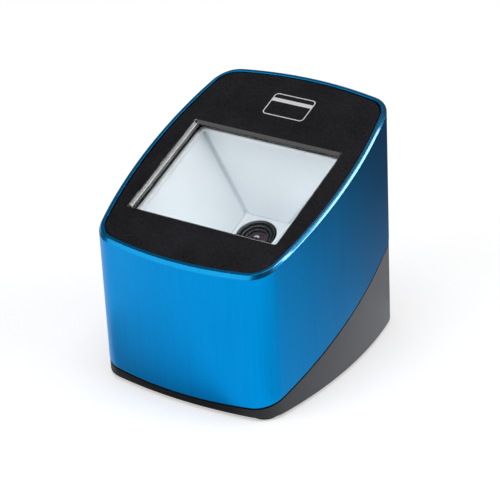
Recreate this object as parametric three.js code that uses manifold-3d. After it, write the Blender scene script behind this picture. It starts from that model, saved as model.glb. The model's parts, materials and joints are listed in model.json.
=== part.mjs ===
// Desktop barcode scanner: a slanted anodised aluminium sleeve with a black face plate and window,
// a white light funnel with the camera lens at its foot, and a dark wedge base on four rubber feet.
// Lengths are in millimetres and angles in degrees. +Z is up, the front faces -Y, and the origin is on
// the desk below the middle of the body.
import * as THREE from "three";
import { mergeVertices } from "three/addons/utils/BufferGeometryUtils.js";
import Module from "manifold-3d";

const wasm = await Module();
wasm.setup();

// Body outline, seen from above: four wide arcs joined by corner arcs. A bulge is the rise of a wide arc
// over the full width or depth of the body.
const bodyWidth = 80;
const bodyDepth = 91.8;
const frontBulge = 4.94;
const sideBulge = 6.54;
const cornerRadius = 10.4;

// The two slanted planes that cut the sleeve, as heights above the desk at the middle of the body.
const slopeAngle = 19.4;
const rimHeight = 70.9;
const seamHeight = 20.4;

// Gaps: between parts that fit together, between stacked layers, around screws and under soldered parts.
const fitGap = 0.3;
const layerGap = 0.15;
const holeGap = 0.2;
const solderGap = 0.1;
const cutOverrun = 2;

// Aluminium sleeve.
const sleeveWall = 3.2;
const rimWall = 2;
const rimChamfer = 1.15;

// Face plate, set a little below the rim on the sleeve's ledge.
const plateSink = 0.25;
const plateThickness = 2.4;
const windowSideMargin = 9.7;
const windowFrontMargin = 18.86;
const windowRearMargin = 31.66;
const windowCornerRadius = 1.5;

// Window pane and its gasket, in a pocket under the face plate.
const paneMargin = 1;
const paneThickness = 1.8;
const gasketThickness = 0.3;
const pocketWall = 1.4;

// Light funnel.
const funnelWall = 1.5;
const funnelLip = 1.5;
const funnelMouthRadius = 3;
const throatWidth = 16.4;
const throatLength = 15.9;
const throatRadius = 1.5;
const throatShift = 1.65;
const throatDepth = 28.9;
const lensHoleRadius = 7.8;
const flangeThickness = 1.6;
const flangeMargin = 2.3;
const earRadius = 3;
const earReach = 5.2;
const earGap = 2.5;
const funnelBossRadius = 2.6;
const funnelBossLength = 15;

// Boards and their standoffs.
const boardThickness = 1.6;
const ledBoardRise = 3.9;
const ledBoardHoleGap = 1.4;
const ledBoardSide = 10;
const ledBoardEnd = 8.4;
const sensorBoardThickness = 1.2;
const mainBoardSideInset = 15.5;
const mainBoardFrontInset = 10.9;
const mainBoardRearInset = 9.9;
const standoffHeight = 3.9;
const standoffRadius = 3;
const boardScrewInset = 4;
const boardScrewRearInset = 17;

// Lamps on the board behind the funnel.
const ledWidth = 3.5;
const ledLength = 2.8;
const ledThickness = 1.4;
const ledSideInset = 5.5;
const ledEndInset = 4;
const frontLedShift = 8;

// Bracket that hangs the camera under the funnel.
const bracketPlate = 2;
const bracketWall = 1.8;
const bracketWidth = 34.8;
const bracketLength = 28.8;
const padRadius = 2.2;
const padLength = 6;
const padInset = 3.8;
const engineScrewInset = 4;
const engineScrewSpacing = 20;

// Camera: lens, holder and image sensor.
const barrelRadius = 7.4;
const lensSetback = 0.7;
const barrelHeadLength = 3.4;
const threadRadius = 6;
const threadLength = 5;
const bezelRadius = 6.4;
const frontSeatRadius = 4.5;
const frontSeatDepth = 1.6;
const frontSeatLength = 2.3;
const rearBoreRadius = 3.4;
const lensEdge = 1.1;
const lensCrown = 0.9;
const lockRingThickness = 1.1;
const lockRingRadius = 7.4;
const holderWidth = 16;
const holderHeight = 3.4;
const holderCavity = 12;
const sensorWidth = 9;
const sensorThickness = 1;
const sensorGap = 1.2;

// Base housing.
const baseWall = 2.4;
const baseFloor = 2.5;
const seamShadow = 0.4;
const spigotWall = 1.6;
const spigotHeight = 5;
const collarHeight = 4;

// Case screw posts of the base and legs of the face plate, which meet at one height.
const postMeetHeight = 24;
const postRadius = 3.6;
const postBoreRadius = 2.7;
const postShoulder = 3;
const legRadius = 3.2;
const legClearance = 1;
const legBoreLength = 8;
const postSideInset = 11.3;
const postEndInset = 11.5;

// Rubber feet.
const footHeight = 2;
const footRadius = 5;
const footSideInset = 11.1;
const footEndInset = 9.2;
const footPocketDepth = 0.6;
const footEdge = 0.4;

// Screws: one size for the case, one for the boards and the funnel.
const caseScrewRadius = 1.25;
const caseScrewLength = 9;
const caseHeadRadius = 2.3;
const caseHeadHeight = 1.8;
const smallScrewRadius = 0.95;
const smallScrewBite = 5;
const smallHeadRadius = 1.9;
const smallHeadHeight = 1.3;
const screwRecessShare = 0.45;

// Data socket at the back, with its mouth and the slot for the plug's latch.
const socketWidth = 16;
const socketHeight = 13.4;
const socketLength = 21;
const socketSetback = 1;
const mouthWidth = 11.8;
const mouthHeight = 7;
const mouthDepth = 14;
const mouthLift = 4.6;
const latchWidth = 6.2;
const latchHeight = 2.4;

// Parts on the main board, with their distances from its edges and from the data socket.
const processorWidth = 10;
const processorThickness = 1.2;
const processorSideInset = 7.5;
const processorSocketGap = 8.5;
const canWidth = 11;
const canLength = 14;
const canHeight = 2.8;
const canSheet = 0.4;
const canSideInset = 1.5;
const canFrontInset = 11;
const buzzerRadius = 6;
const buzzerHeight = 7;
const buzzerHoleRadius = 1.1;
const buzzerHoleDepth = 3.5;
const buzzerSideInset = 3.5;
const buzzerFrontInset = 11;

// Reset switch under the main board and its plunger.
const switchWidth = 5;
const switchHeight = 2.4;
const switchSideInset = 7;
const switchFrontInset = 18;
const plungerRadius = 1.2;
const plungerFlange = 0.5;
const plungerFlangeHeight = 0.5;
const plungerReach = 0.9;
const plungerTravel = 0.25;
const switchRoof = 0.35;

// Underside: sound slots, reset hole and the bare label recess.
const slotCount = 5;
const slotWidth = 1.2;
const slotLength = 12;
const slotPitch = 2.6;
const slotCorner = 0.5;
const resetHoleRadius = 0.9;
const labelWidth = 44;
const labelLength = 24;
const labelY = 10;
const labelDepth = 0.3;

// Contactless antenna board, taped under the back of the face plate.
const antennaSideGap = 1.5;
const antennaFrontGap = 1.1;
const antennaRearGap = 5;
const antennaThickness = 1;
const tapeInset = 2;
const tapeThickness = 0.5;

// Flat ribbon cables and the sockets that they plug into.
const ribbonThickness = 0.3;
const ribbonSteps = 18;
const ribbonSocketMargin = 1.5;
const ribbonSocketLength = 4;
const ribbonSocketHeight = 1.6;
const engineRibbonWidth = 10;
const engineRibbonHandle = 11;
const engineSocketInset = 2.8;
const mainEngineSocketInset = 33;
const ledRibbonWidth = 6;
const ledRibbonHandle = 13;
const ledSocketInset = 2.6;
const mainLedSocketInset = 6;
const antennaRibbonWidth = 4;
const antennaRibbonHandle = 6;
const antennaSocketSideInset = 0.5;
const mainAntennaSocketInset = 5;

// Facets: steps in each arc of the body and of small corners, and around turned parts.
const bodyArcSteps = 8;
const cornerArcSteps = 4;
const turnedSegments = 24;
const smallSegments = 16;
const screwSegments = 10;
const lensSteps = 3;

// Heights above the desk and depths below the rim that follow from the sizes above.
const tilt = THREE.MathUtils.degToRad(slopeAngle);
const slope = Math.tan(tilt);
const baseUnder = footHeight;
const floorTop = baseUnder + baseFloor;
const postTop = postMeetHeight - fitGap;
const mainBoardUnder = floorTop + standoffHeight + solderGap;
const mainBoardTop = mainBoardUnder + boardThickness;
const partsLow = mainBoardTop + solderGap;
const plateUnder = plateSink + plateThickness;
const plateMiddle = plateSink + plateThickness / 2;
const gasketTop = plateUnder + layerGap;
const gasketUnder = gasketTop + gasketThickness;
const paneTop = gasketUnder + layerGap;
const paneUnder = paneTop + paneThickness;
const flangeTop = paneUnder + layerGap;
const flangeUnder = flangeTop + flangeThickness;
const ledBoardDepth = throatDepth - ledBoardRise;
const bracketTop = ledBoardDepth + boardThickness + fitGap;
const bracketUnder = bracketTop + bracketPlate;
const barrelFrontDepth = throatDepth + lensSetback;
const barrelHeadEnd = barrelFrontDepth + barrelHeadLength;
const barrelEnd = barrelHeadEnd + threadLength;
const sensorBoardTop = barrelEnd + sensorGap + sensorThickness + solderGap;
const sensorBoardUnder = sensorBoardTop + sensorBoardThickness;
const bracketDepth = sensorBoardTop - fitGap;

// Sizes and places in the slanted face that follow: +Y runs up the slope from the middle of the body.
const faceLength = bodyDepth / Math.cos(tilt);
const windowFront = windowFrontMargin - faceLength / 2;
const windowRear = faceLength / 2 - windowRearMargin;
const windowWidth = bodyWidth - 2 * windowSideMargin;
const windowLength = windowRear - windowFront;
const windowY = (windowFront + windowRear) / 2;
const throatY = windowY + throatShift;
const taperTop = flangeTop + funnelLip;
const boardTaperShare = (throatDepth - ledBoardDepth) / (throatDepth - taperTop);
const holeMargin = funnelWall + ledBoardHoleGap;
const alongTaper = (throatEdge, windowEdge) => THREE.MathUtils.lerp(throatEdge, windowEdge, boardTaperShare);
const ledHoleSide = alongTaper(throatWidth / 2, windowWidth / 2) + holeMargin;
const ledHoleFront = alongTaper(throatY - throatLength / 2, windowFront) - holeMargin;
const ledHoleRear = alongTaper(throatY + throatLength / 2, windowRear) + holeMargin;
const ledBoardHalf = ledHoleSide + ledBoardSide;
const ledBoardFront = ledHoleFront - ledBoardEnd;
const ledBoardRear = ledHoleRear + ledBoardEnd;

// Places in the base that follow.
const postX = bodyWidth / 2 - postSideInset;
const postY = bodyDepth / 2 - postEndInset;
const footX = bodyWidth / 2 - footSideInset;
const footY = bodyDepth / 2 - footEndInset;
const mainBoardSide = bodyWidth / 2 - mainBoardSideInset;
const mainBoardFront = mainBoardFrontInset - bodyDepth / 2;
const mainBoardRear = bodyDepth / 2 - mainBoardRearInset;
const socketRear = bodyDepth / 2 - socketSetback;
const socketFront = socketRear - socketLength;
const buzzerX = buzzerSideInset + buzzerRadius - mainBoardSide;
const buzzerY = mainBoardFront + buzzerFrontInset + buzzerRadius;
const switchX = mainBoardSide - switchSideInset - switchWidth / 2;
const switchY = mainBoardFront + switchFrontInset + switchWidth / 2;

// Colours and finishes.
function finish(color, roughness, metalness = 0) {
  return new THREE.MeshStandardMaterial({ color, roughness, metalness });
}

const blueAluminium = finish(0x0a78d6, 0.35, 0.9);
const blackPlate = finish(0x1c1c1f, 0.6);
const blackPlastic = finish(0x2a2b2e, 0.55);
const greyPlastic = finish(0x4a4b4e, 0.6);
const whitePlastic = finish(0xe4e9ee, 0.45);
const blackRubber = finish(0x0c0c0d, 0.8);
const clearPane = finish(0xdfe8ee, 0.05);
clearPane.transparent = true;
clearPane.opacity = 0.3;
const coatedGlass = finish(0x2a1e3a, 0.05);
const steel = finish(0x9a9c9f, 0.35, 1);
const circuitBoard = finish(0x0f5a34, 0.5);
const chipBlack = finish(0x17181a, 0.5);
const lampYellow = finish(0xf2e6a0, 0.4);
const ribbonWhite = finish(0xd8dde2, 0.5);

// Booleans.
function solid(geometry) {
  const bare = geometry.clone();
  bare.deleteAttribute("normal");
  bare.deleteAttribute("uv");
  const merged = mergeVertices(bare);
  const vertProperties = merged.attributes.position.array;
  const triVerts = new Uint32Array(merged.index.array);
  return new wasm.Manifold(new wasm.Mesh({ numProp: 3, vertProperties, triVerts }));
}

function join(geometries) {
  return geometries.map(solid).reduce((whole, part) => whole.add(part));
}

function cut(whole, tools) {
  return tools.map(solid).reduce((rest, tool) => rest.subtract(tool), whole);
}

function surface(whole) {
  const mesh = whole.getMesh();
  const geometry = new THREE.BufferGeometry();
  geometry.setAttribute("position", new THREE.BufferAttribute(mesh.vertProperties, 3));
  geometry.setIndex(new THREE.BufferAttribute(mesh.triVerts, 1));
  return geometry;
}

// Points of an arc. Its last point is left out where another arc starts there.
function arc(x, y, radius, from, to, steps, count = steps) {
  return Array.from({ length: count }, (_, i) => {
    const angle = THREE.MathUtils.lerp(from, to, i / steps);
    return new THREE.Vector2(x + radius * Math.cos(angle), y + radius * Math.sin(angle));
  });
}

// The body outline moved inwards: its arcs keep their centres and lose the inset in radius.
const arcRadius = (halfChord, rise) => (halfChord ** 2 + rise ** 2) / (2 * rise);
const frontRadius = arcRadius(bodyWidth / 2, frontBulge);
const sideRadius = arcRadius(bodyDepth / 2, sideBulge);
const frontCentre = new THREE.Vector2(0, frontRadius - bodyDepth / 2);
const sideCentre = new THREE.Vector2(bodyWidth / 2 - sideRadius, 0);

function frontCornerCentre() {
  const across = sideCentre.clone().sub(frontCentre);
  const span = across.length();
  const frontReach = frontRadius - cornerRadius;
  const sideReach = sideRadius - cornerRadius;
  const along = (frontReach ** 2 - sideReach ** 2 + span ** 2) / (2 * span);
  const outward = new THREE.Vector2(-across.y, across.x).normalize();
  const off = Math.sqrt(frontReach ** 2 - along ** 2);
  return frontCentre.clone().addScaledVector(across.normalize(), along).addScaledVector(outward, off);
}

const cornerCentre = frontCornerCentre();
const frontEnd = cornerCentre.clone().sub(frontCentre).angle() - 2 * Math.PI;
const sideStart = cornerCentre.clone().sub(sideCentre).angle() - 2 * Math.PI;

function bodyOutline(inset) {
  const front = frontRadius - inset;
  const side = sideRadius - inset;
  const tight = cornerRadius - inset;
  const { x, y } = cornerCentre;
  return [
    ...arc(0, frontCentre.y, front, -Math.PI - frontEnd, frontEnd, bodyArcSteps),
    ...arc(x, y, tight, frontEnd, sideStart, bodyArcSteps),
    ...arc(sideCentre.x, 0, side, sideStart, -sideStart, bodyArcSteps),
    ...arc(x, -y, tight, -sideStart, -frontEnd, bodyArcSteps),
    ...arc(0, -frontCentre.y, front, -frontEnd, Math.PI + frontEnd, bodyArcSteps),
    ...arc(-x, -y, tight, Math.PI + frontEnd, Math.PI + sideStart, bodyArcSteps),
    ...arc(-sideCentre.x, 0, side, Math.PI + sideStart, Math.PI - sideStart, bodyArcSteps),
    ...arc(-x, y, tight, Math.PI - sideStart, Math.PI - frontEnd, bodyArcSteps),
  ];
}

function roundedRectangle(width, length, radius, x, y) {
  const right = x + width / 2 - radius;
  const left = x - width / 2 + radius;
  const back = y + length / 2 - radius;
  const front = y - length / 2 + radius;
  const turn = Math.PI / 2;
  const steps = cornerArcSteps;
  return [
    ...arc(right, front, radius, -turn, 0, steps, steps + 1),
    ...arc(right, back, radius, 0, turn, steps, steps + 1),
    ...arc(left, back, radius, turn, 2 * turn, steps, steps + 1),
    ...arc(left, front, radius, 2 * turn, 3 * turn, steps, steps + 1),
  ];
}

const circle = (radius, x, y) => arc(x, y, radius, 0, 2 * Math.PI, smallSegments);

// Heights of the slanted planes. A depth is measured square to the rim plane, a fall straight down.
const rimPlane = (depth, fall = 0) => (y) => rimHeight + slope * y - depth / Math.cos(tilt) - fall;
const seamPlane = (rise) => (y) => seamHeight + slope * y + rise;
const level = (height) => () => height;

// An upright prism of an outline between two planes.
function prism(outline, low, high) {
  const shape = new THREE.Shape(outline);
  const geometry = new THREE.ExtrudeGeometry(shape, { depth: 1, bevelEnabled: false });
  const place = geometry.attributes.position;
  for (let i = 0; i < place.count; i++) {
    const y = place.getY(i);
    place.setZ(i, THREE.MathUtils.lerp(low(y), high(y), place.getZ(i)));
  }
  return geometry;
}

// A closed skin over a stack of convex outlines, as [outline, height] pairs, lowest first.
function skin(layers) {
  const lift = ([outline, height]) => outline.map(({ x, y }) => new THREE.Vector3(x, y, height(y)));
  const loops = layers.map(lift);
  const count = loops[0].length;
  const top = (loops.length - 1) * count;
  const faces = [];
  for (let layer = 0; layer < top; layer += count) {
    for (let i = 0; i < count; i++) {
      const a = layer + i;
      const b = layer + ((i + 1) % count);
      faces.push(a, b, b + count, a, b + count, a + count);
    }
  }
  for (let i = 1; i + 1 < count; i++) {
    faces.push(0, i + 1, i, top, top + i, top + i + 1);
  }
  const geometry = new THREE.BufferGeometry().setFromPoints(loops.flat());
  geometry.setIndex(faces);
  return geometry;
}

// A box and a rod that reach from one height to another.
function block(width, length, low, high, x, y) {
  return new THREE.BoxGeometry(width, length, high - low).translate(x, y, (low + high) / 2);
}

function rod(radius, low, high, x, y, segments = smallSegments) {
  const upright = new THREE.CylinderGeometry(radius, radius, high - low, segments).rotateX(Math.PI / 2);
  return upright.translate(x, y, (low + high) / 2);
}

// A turned piece from [radius, height] pairs, going up its outside.
function turned(profile, x, y, segments = turnedSegments) {
  const points = profile.map(([radius, height]) => new THREE.Vector2(radius, height));
  return new THREE.LatheGeometry(points, segments).rotateX(Math.PI / 2).translate(x, y, 0);
}

// A screw that points up from its seat at height zero, with its driving recess in the head below.
function screw(length, radius, headRadius, headHeight) {
  const recess = headRadius * screwRecessShare;
  const profile = [
    [0, recess - headHeight],
    [recess, -headHeight],
    [headRadius - recess / 2, -headHeight],
    [headRadius, -headHeight / 2],
    [headRadius, 0],
    [radius, 0],
    [radius, length - radius],
    [0, length],
  ];
  return turned(profile, 0, 0, screwSegments);
}

const caseScrew = (length) => screw(length, caseScrewRadius, caseHeadRadius, caseHeadHeight);
const smallScrew = (length) => screw(length, smallScrewRadius, smallHeadRadius, smallHeadHeight);
const smallHole = (low, high, x, y) => rod(smallScrewRadius + holeGap, low, high, x, y);

// The scanner, and the group that lies in the slanted rim plane: there +Y runs up the slope and +Z out
// of it, so a depth below the rim is a negative height.
const scanner = new THREE.Group();
const face = new THREE.Group();
face.position.z = rimHeight;
face.rotation.x = tilt;
face.updateMatrix();
scanner.add(face);

function piece(name, shape, material, group = scanner) {
  const mesh = new THREE.Mesh(shape.isBufferGeometry ? shape : surface(shape), material);
  mesh.name = name;
  group.add(mesh);
  return mesh;
}

const onFace = (geometry) => geometry.applyMatrix4(face.matrix);

const corners = [
  { name: "front_left", i: -1, j: -1 },
  { name: "front_right", i: 1, j: -1 },
  { name: "rear_left", i: -1, j: 1 },
  { name: "rear_right", i: 1, j: 1 },
];

// Four places around a centre line, one for each corner.
function cornerPlaces(reachX, reachY, middleY = 0) {
  return corners.map(({ name, i, j }) => ({ name, i, j, x: i * reachX, y: middleY + j * reachY }));
}

const earX = postX - legRadius - earRadius - earGap;
const earPlaces = cornerPlaces(earX, windowLength / 2 + earReach, windowY);
const enginePlaces = cornerPlaces(ledBoardHalf - engineScrewInset, engineScrewSpacing / 2, throatY);
const padPlaces = cornerPlaces(bracketWidth / 2 - padInset, bracketLength / 2 - padInset, throatY);
const postPlaces = cornerPlaces(postX, postY);
const footPlaces = cornerPlaces(footX, footY);
const boardScrewFront = mainBoardFront + boardScrewInset;
const boardScrewRear = mainBoardRear - boardScrewRearInset;
const boardScrewMiddle = (boardScrewFront + boardScrewRear) / 2;
const boardScrewReach = (boardScrewRear - boardScrewFront) / 2;
const boardPlaces = cornerPlaces(mainBoardSide - boardScrewInset, boardScrewReach, boardScrewMiddle);

// Window outlines, grown by a margin.
function windowOutline(margin) {
  const radius = windowCornerRadius + margin;
  return roundedRectangle(windowWidth + 2 * margin, windowLength + 2 * margin, radius, 0, windowY);
}

// Aluminium sleeve: chamfered outside, with a ledge for the face plate.
function sleeve() {
  const outside = skin([
    [bodyOutline(0), seamPlane(0)],
    [bodyOutline(0), rimPlane(0, rimChamfer)],
    [bodyOutline(rimChamfer), rimPlane(0)],
  ]);
  const bore = prism(bodyOutline(sleeveWall), seamPlane(-cutOverrun), rimPlane(-cutOverrun));
  const ledge = prism(bodyOutline(rimWall), rimPlane(plateUnder + fitGap), rimPlane(-cutOverrun));
  return cut(solid(outside), [bore, ledge]);
}

// Face plate: window opening, the pane's pocket, ear bosses for the funnel and legs for the case screws.
function facePlate() {
  const sheet = prism(bodyOutline(rimWall + fitGap), rimPlane(plateUnder), rimPlane(plateSink));
  const pocketMargin = paneMargin + fitGap;
  const rib = onFace(prism(windowOutline(pocketMargin + pocketWall), level(-paneUnder), level(-plateMiddle)));
  const ears = earPlaces.map(({ x, y }) => onFace(rod(earRadius, -paneUnder, -plateMiddle, x, y)));
  const legs = postPlaces.map(({ x, y }) =>
    prism(circle(legRadius, x, y), level(postMeetHeight), rimPlane(plateMiddle)),
  );
  const pocket = onFace(
    prism(windowOutline(pocketMargin), level(-paneUnder - cutOverrun), level(-plateUnder)),
  );
  const opening = onFace(prism(windowOutline(0), level(-paneUnder), level(cutOverrun)));
  const earLow = -paneUnder - cutOverrun;
  const earBores = earPlaces.map(({ x, y }) => onFace(smallHole(earLow, -plateMiddle, x, y)));
  const legBores = postPlaces.map(({ x, y }) => {
    const radius = caseScrewRadius + holeGap;
    return rod(radius, postMeetHeight - cutOverrun, postMeetHeight + legBoreLength, x, y);
  });
  return cut(join([sheet, rib, ...ears, ...legs]), [pocket, opening, ...earBores, ...legBores]);
}

// Window gasket and pane.
function gasket() {
  const sheet = prism(windowOutline(paneMargin), level(-gasketUnder), level(-gasketTop));
  return cut(solid(sheet), [prism(windowOutline(0), level(-gasketUnder - cutOverrun), level(cutOverrun))]);
}

function pane() {
  return prism(windowOutline(paneMargin), level(-paneUnder), level(-paneTop));
}

// Light funnel: a flange with ears, a tapering wall, and a floor with the lens hole.
function funnelOutlines(grow) {
  const width = windowWidth + 2 * grow;
  const length = windowLength + 2 * grow;
  const mouth = roundedRectangle(width, length, funnelMouthRadius + grow, 0, windowY);
  const throatWide = throatWidth + 2 * grow;
  const throatLong = throatLength + 2 * grow;
  const throat = roundedRectangle(throatWide, throatLong, throatRadius + grow, 0, throatY);
  return { mouth, throat };
}

function funnel() {
  const outer = funnelOutlines(funnelWall);
  const inner = funnelOutlines(0);
  const outside = skin([
    [outer.throat, level(-throatDepth - funnelWall)],
    [outer.throat, level(-throatDepth)],
    [outer.mouth, level(-flangeTop - funnelLip)],
    [outer.mouth, level(-flangeTop)],
  ]);
  const inside = skin([
    [inner.throat, level(-throatDepth)],
    [inner.mouth, level(-flangeTop - funnelLip)],
    [inner.mouth, level(cutOverrun)],
  ]);
  const flange = prism(windowOutline(flangeMargin), level(-flangeUnder), level(-flangeTop));
  const ears = earPlaces.map(({ x, y }) => rod(earRadius, -flangeUnder, -flangeTop, x, y));
  const webs = earPlaces.map(({ x, y, j }) => {
    const middle = y - (j * earReach) / 2;
    return block(2 * earRadius, earReach, -flangeUnder, -flangeTop, x, middle);
  });
  const bosses = enginePlaces.map(({ x, y }) =>
    rod(funnelBossRadius, fitGap - ledBoardDepth, funnelBossLength - ledBoardDepth, x, y),
  );
  const earHoles = earPlaces.map(({ x, y }) => smallHole(-flangeUnder - cutOverrun, 0, x, y));
  const bossBores = enginePlaces.map(({ x, y }) =>
    smallHole(-ledBoardDepth - cutOverrun, smallScrewBite - ledBoardDepth, x, y),
  );
  const lensHole = rod(lensHoleRadius, -throatDepth - funnelWall - cutOverrun, 0, 0, throatY, turnedSegments);
  const whole = join([outside, flange, ...ears, ...webs, ...bosses]);
  return cut(whole, [inside, lensHole, ...earHoles, ...bossBores]);
}

// Lamp board behind the funnel, and its lamps.
function boardBlock(low, high) {
  const length = ledBoardRear - ledBoardFront;
  return block(2 * ledBoardHalf, length, low, high, 0, (ledBoardRear + ledBoardFront) / 2);
}

function ledBoard() {
  const under = -ledBoardDepth - boardThickness;
  const low = under - cutOverrun;
  const holeLength = ledHoleRear - ledHoleFront;
  const hole = block(2 * ledHoleSide, holeLength, low, 0, 0, (ledHoleRear + ledHoleFront) / 2);
  const screwHoles = enginePlaces.map(({ x, y }) => smallHole(low, 0, x, y));
  return cut(solid(boardBlock(under, -ledBoardDepth)), [hole, ...screwHoles]);
}

function addLamps() {
  const low = solderGap - ledBoardDepth;
  const side = ledBoardHalf - ledSideInset;
  const places = {
    led_left: [-side, throatY],
    led_right: [side, throatY],
    led_front: [frontLedShift, ledBoardFront + ledEndInset],
    led_rear: [0, ledBoardRear - ledEndInset],
  };
  for (const [name, [x, y]] of Object.entries(places)) {
    piece(name, block(ledWidth, ledLength, low, low + ledThickness, x, y), lampYellow, face);
  }
}

// Camera bracket: a flange under the lamp board, and a box with four screw pads for the sensor board.
function bracket() {
  const flange = boardBlock(-bracketUnder, -bracketTop);
  const box = block(bracketWidth, bracketLength, -bracketDepth, -bracketTop, 0, throatY);
  const insideWidth = bracketWidth - 2 * bracketWall;
  const insideLength = bracketLength - 2 * bracketWall;
  const inside = block(insideWidth, insideLength, -bracketDepth - cutOverrun, 0, 0, throatY);
  const padTop = padLength - bracketDepth;
  const pads = padPlaces.map(({ x, y }) => rod(padRadius, -bracketDepth, padTop, x, y));
  const links = padPlaces.map(({ x, y, i }) =>
    block(padInset, bracketWall, -bracketDepth, padTop, x + (i * padInset) / 2, y),
  );
  const shell = cut(join([flange, box]), [inside]);
  const screwHoles = enginePlaces.map(({ x, y }) => smallHole(-bracketUnder - cutOverrun, 0, x, y));
  const padHoles = padPlaces.map(({ x, y }) =>
    smallHole(-bracketDepth - cutOverrun, padTop - padLength / 2, x, y),
  );
  return cut(shell.add(join([...pads, ...links])), [...screwHoles, ...padHoles]);
}

// Screws of the funnel and the camera bracket, whose heads point into the case.
function addFaceScrews() {
  for (const { name, x, y } of earPlaces) {
    const made = smallScrew(flangeUnder - plateUnder).translate(x, y, -flangeUnder - solderGap);
    piece(`funnel_screw_${name}`, made, steel, face);
  }
  const length = bracketUnder - ledBoardDepth + smallScrewBite - layerGap;
  for (const { name, x, y } of enginePlaces) {
    const made = smallScrew(length).translate(x, y, -bracketUnder - solderGap);
    piece(`engine_screw_${name}`, made, steel, face);
  }
}

// Sensor board with the image sensor and two screws, at opposite corners.
function addSensorBoard() {
  const sheet = block(bracketWidth, bracketLength, -sensorBoardUnder, -sensorBoardTop, 0, throatY);
  const holes = padPlaces.map(({ x, y }) => smallHole(-sensorBoardUnder - cutOverrun, 0, x, y));
  piece("sensor_board", cut(solid(sheet), holes), circuitBoard, face);
  const low = solderGap - sensorBoardTop;
  const chip = block(sensorWidth, sensorWidth, low, low + sensorThickness, 0, throatY);
  piece("image_sensor", chip, chipBlack, face);
  const seat = -sensorBoardUnder - solderGap;
  for (const { name, x, y } of padPlaces.filter(({ i, j }) => i === j)) {
    const made = smallScrew(sensorBoardThickness + padLength / 2).translate(x, y, seat);
    piece(`sensor_screw_${name}`, made, steel, face);
  }
}

// Lens holder on the sensor board, the lock ring and the lens barrel screwed into it.
function addLensMount() {
  const low = solderGap - sensorBoardTop;
  const collarTop = -barrelHeadEnd - lockRingThickness - 2 * fitGap;
  const bore = rod(threadRadius + holeGap, low - cutOverrun, 0, 0, throatY, turnedSegments);
  const foot = block(holderWidth, holderWidth, low, low + holderHeight, 0, throatY);
  const collar = rod(lockRingRadius, low, collarTop, 0, throatY, turnedSegments);
  const cavityTop = low + sensorThickness + fitGap;
  const cavity = block(holderCavity, holderCavity, low - cutOverrun, cavityTop, 0, throatY);
  piece("lens_holder", cut(join([foot, collar]), [cavity, bore]), blackPlastic, face);
  const ringLow = collarTop + fitGap;
  const ring = rod(lockRingRadius, ringLow, ringLow + lockRingThickness, 0, throatY, turnedSegments);
  piece("lens_lock_ring", cut(solid(ring), [bore]), blackPlastic, face);
}

function addLens() {
  const seatTop = -barrelFrontDepth - frontSeatDepth;
  const seatLow = seatTop - frontSeatLength;
  const profile = [
    [rearBoreRadius, -barrelEnd],
    [threadRadius, -barrelEnd],
    [threadRadius, -barrelHeadEnd],
    [barrelRadius, -barrelHeadEnd],
    [barrelRadius, -barrelFrontDepth],
    [bezelRadius, -barrelFrontDepth],
    [frontSeatRadius, seatTop],
    [frontSeatRadius, seatLow],
    [rearBoreRadius, seatLow],
    [rearBoreRadius, -barrelEnd],
  ];
  piece("lens_barrel", turned(profile, 0, throatY), blackPlastic, face);
  piece("front_lens", glass(frontSeatRadius - holeGap, seatLow + layerGap), coatedGlass, face);
  piece("rear_lens", glass(rearBoreRadius - holeGap, -barrelEnd + layerGap), coatedGlass, face);
}

// A glass with a flat back at the height low and a domed front.
function glass(radius, low) {
  const dome = Array.from({ length: lensSteps + 1 }, (_, i) => {
    const angle = ((i / lensSteps) * Math.PI) / 2;
    const across = i === lensSteps ? 0 : radius * Math.cos(angle);
    return [across, low + lensEdge + lensCrown * Math.sin(angle)];
  });
  return turned([[0, low], [radius, low], ...dome], 0, throatY);
}

// Contactless antenna board and the tape that holds it, between the ears and the back of the plate.
const antennaFront = windowRear + earReach + earRadius + antennaFrontGap;
const antennaRear = faceLength / 2 - sleeveWall - antennaRearGap;
const antennaY = (antennaFront + antennaRear) / 2;
const antennaHalf = postX - legRadius - antennaSideGap;
const tapeTop = -plateUnder - layerGap;
const tapeUnder = tapeTop - tapeThickness;
const antennaTop = tapeUnder - layerGap;
const antennaUnder = antennaTop - antennaThickness;

function addAntenna() {
  const length = antennaRear - antennaFront;
  const board = block(2 * antennaHalf, length, antennaUnder, antennaTop, 0, antennaY);
  piece("antenna_board", board, circuitBoard, face);
  const tapeHalf = antennaHalf - tapeInset;
  const tape = block(2 * tapeHalf, length - 2 * tapeInset, tapeUnder, tapeTop, 0, antennaY);
  piece("antenna_tape", tape, blackRubber, face);
}

// Base housing: slanted wall, spigot into the sleeve, floor, screw posts and board standoffs.
function overFloor(inset, plane) {
  const deep = prism(bodyOutline(inset), level(-bodyDepth), plane);
  return cut(solid(deep), [block(bodyWidth, 2 * bodyDepth, -2 * bodyDepth, floorTop, 0, 0)]);
}

function base() {
  const spigotInset = sleeveWall + fitGap;
  const innerInset = spigotInset + spigotWall;
  const wall = solid(prism(bodyOutline(0), level(baseUnder), seamPlane(-seamShadow)));
  const shell = wall
    .add(overFloor(spigotInset, seamPlane(spigotHeight)))
    .subtract(overFloor(innerInset, seamPlane(spigotHeight + cutOverrun)))
    .subtract(overFloor(baseWall, seamPlane(-collarHeight)));
  const floor = solid(prism(bodyOutline(spigotInset), level(baseUnder), level(floorTop)));
  const posts = postPlaces.map(({ x, y }) => rod(postRadius, baseUnder, postTop, x, y, turnedSegments));
  const standoffs = boardPlaces.map(({ x, y }) =>
    rod(standoffRadius, baseUnder, floorTop + standoffHeight, x, y),
  );
  return cut(shell.add(floor).add(join([...posts, ...standoffs])), baseOpenings());
}

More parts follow.
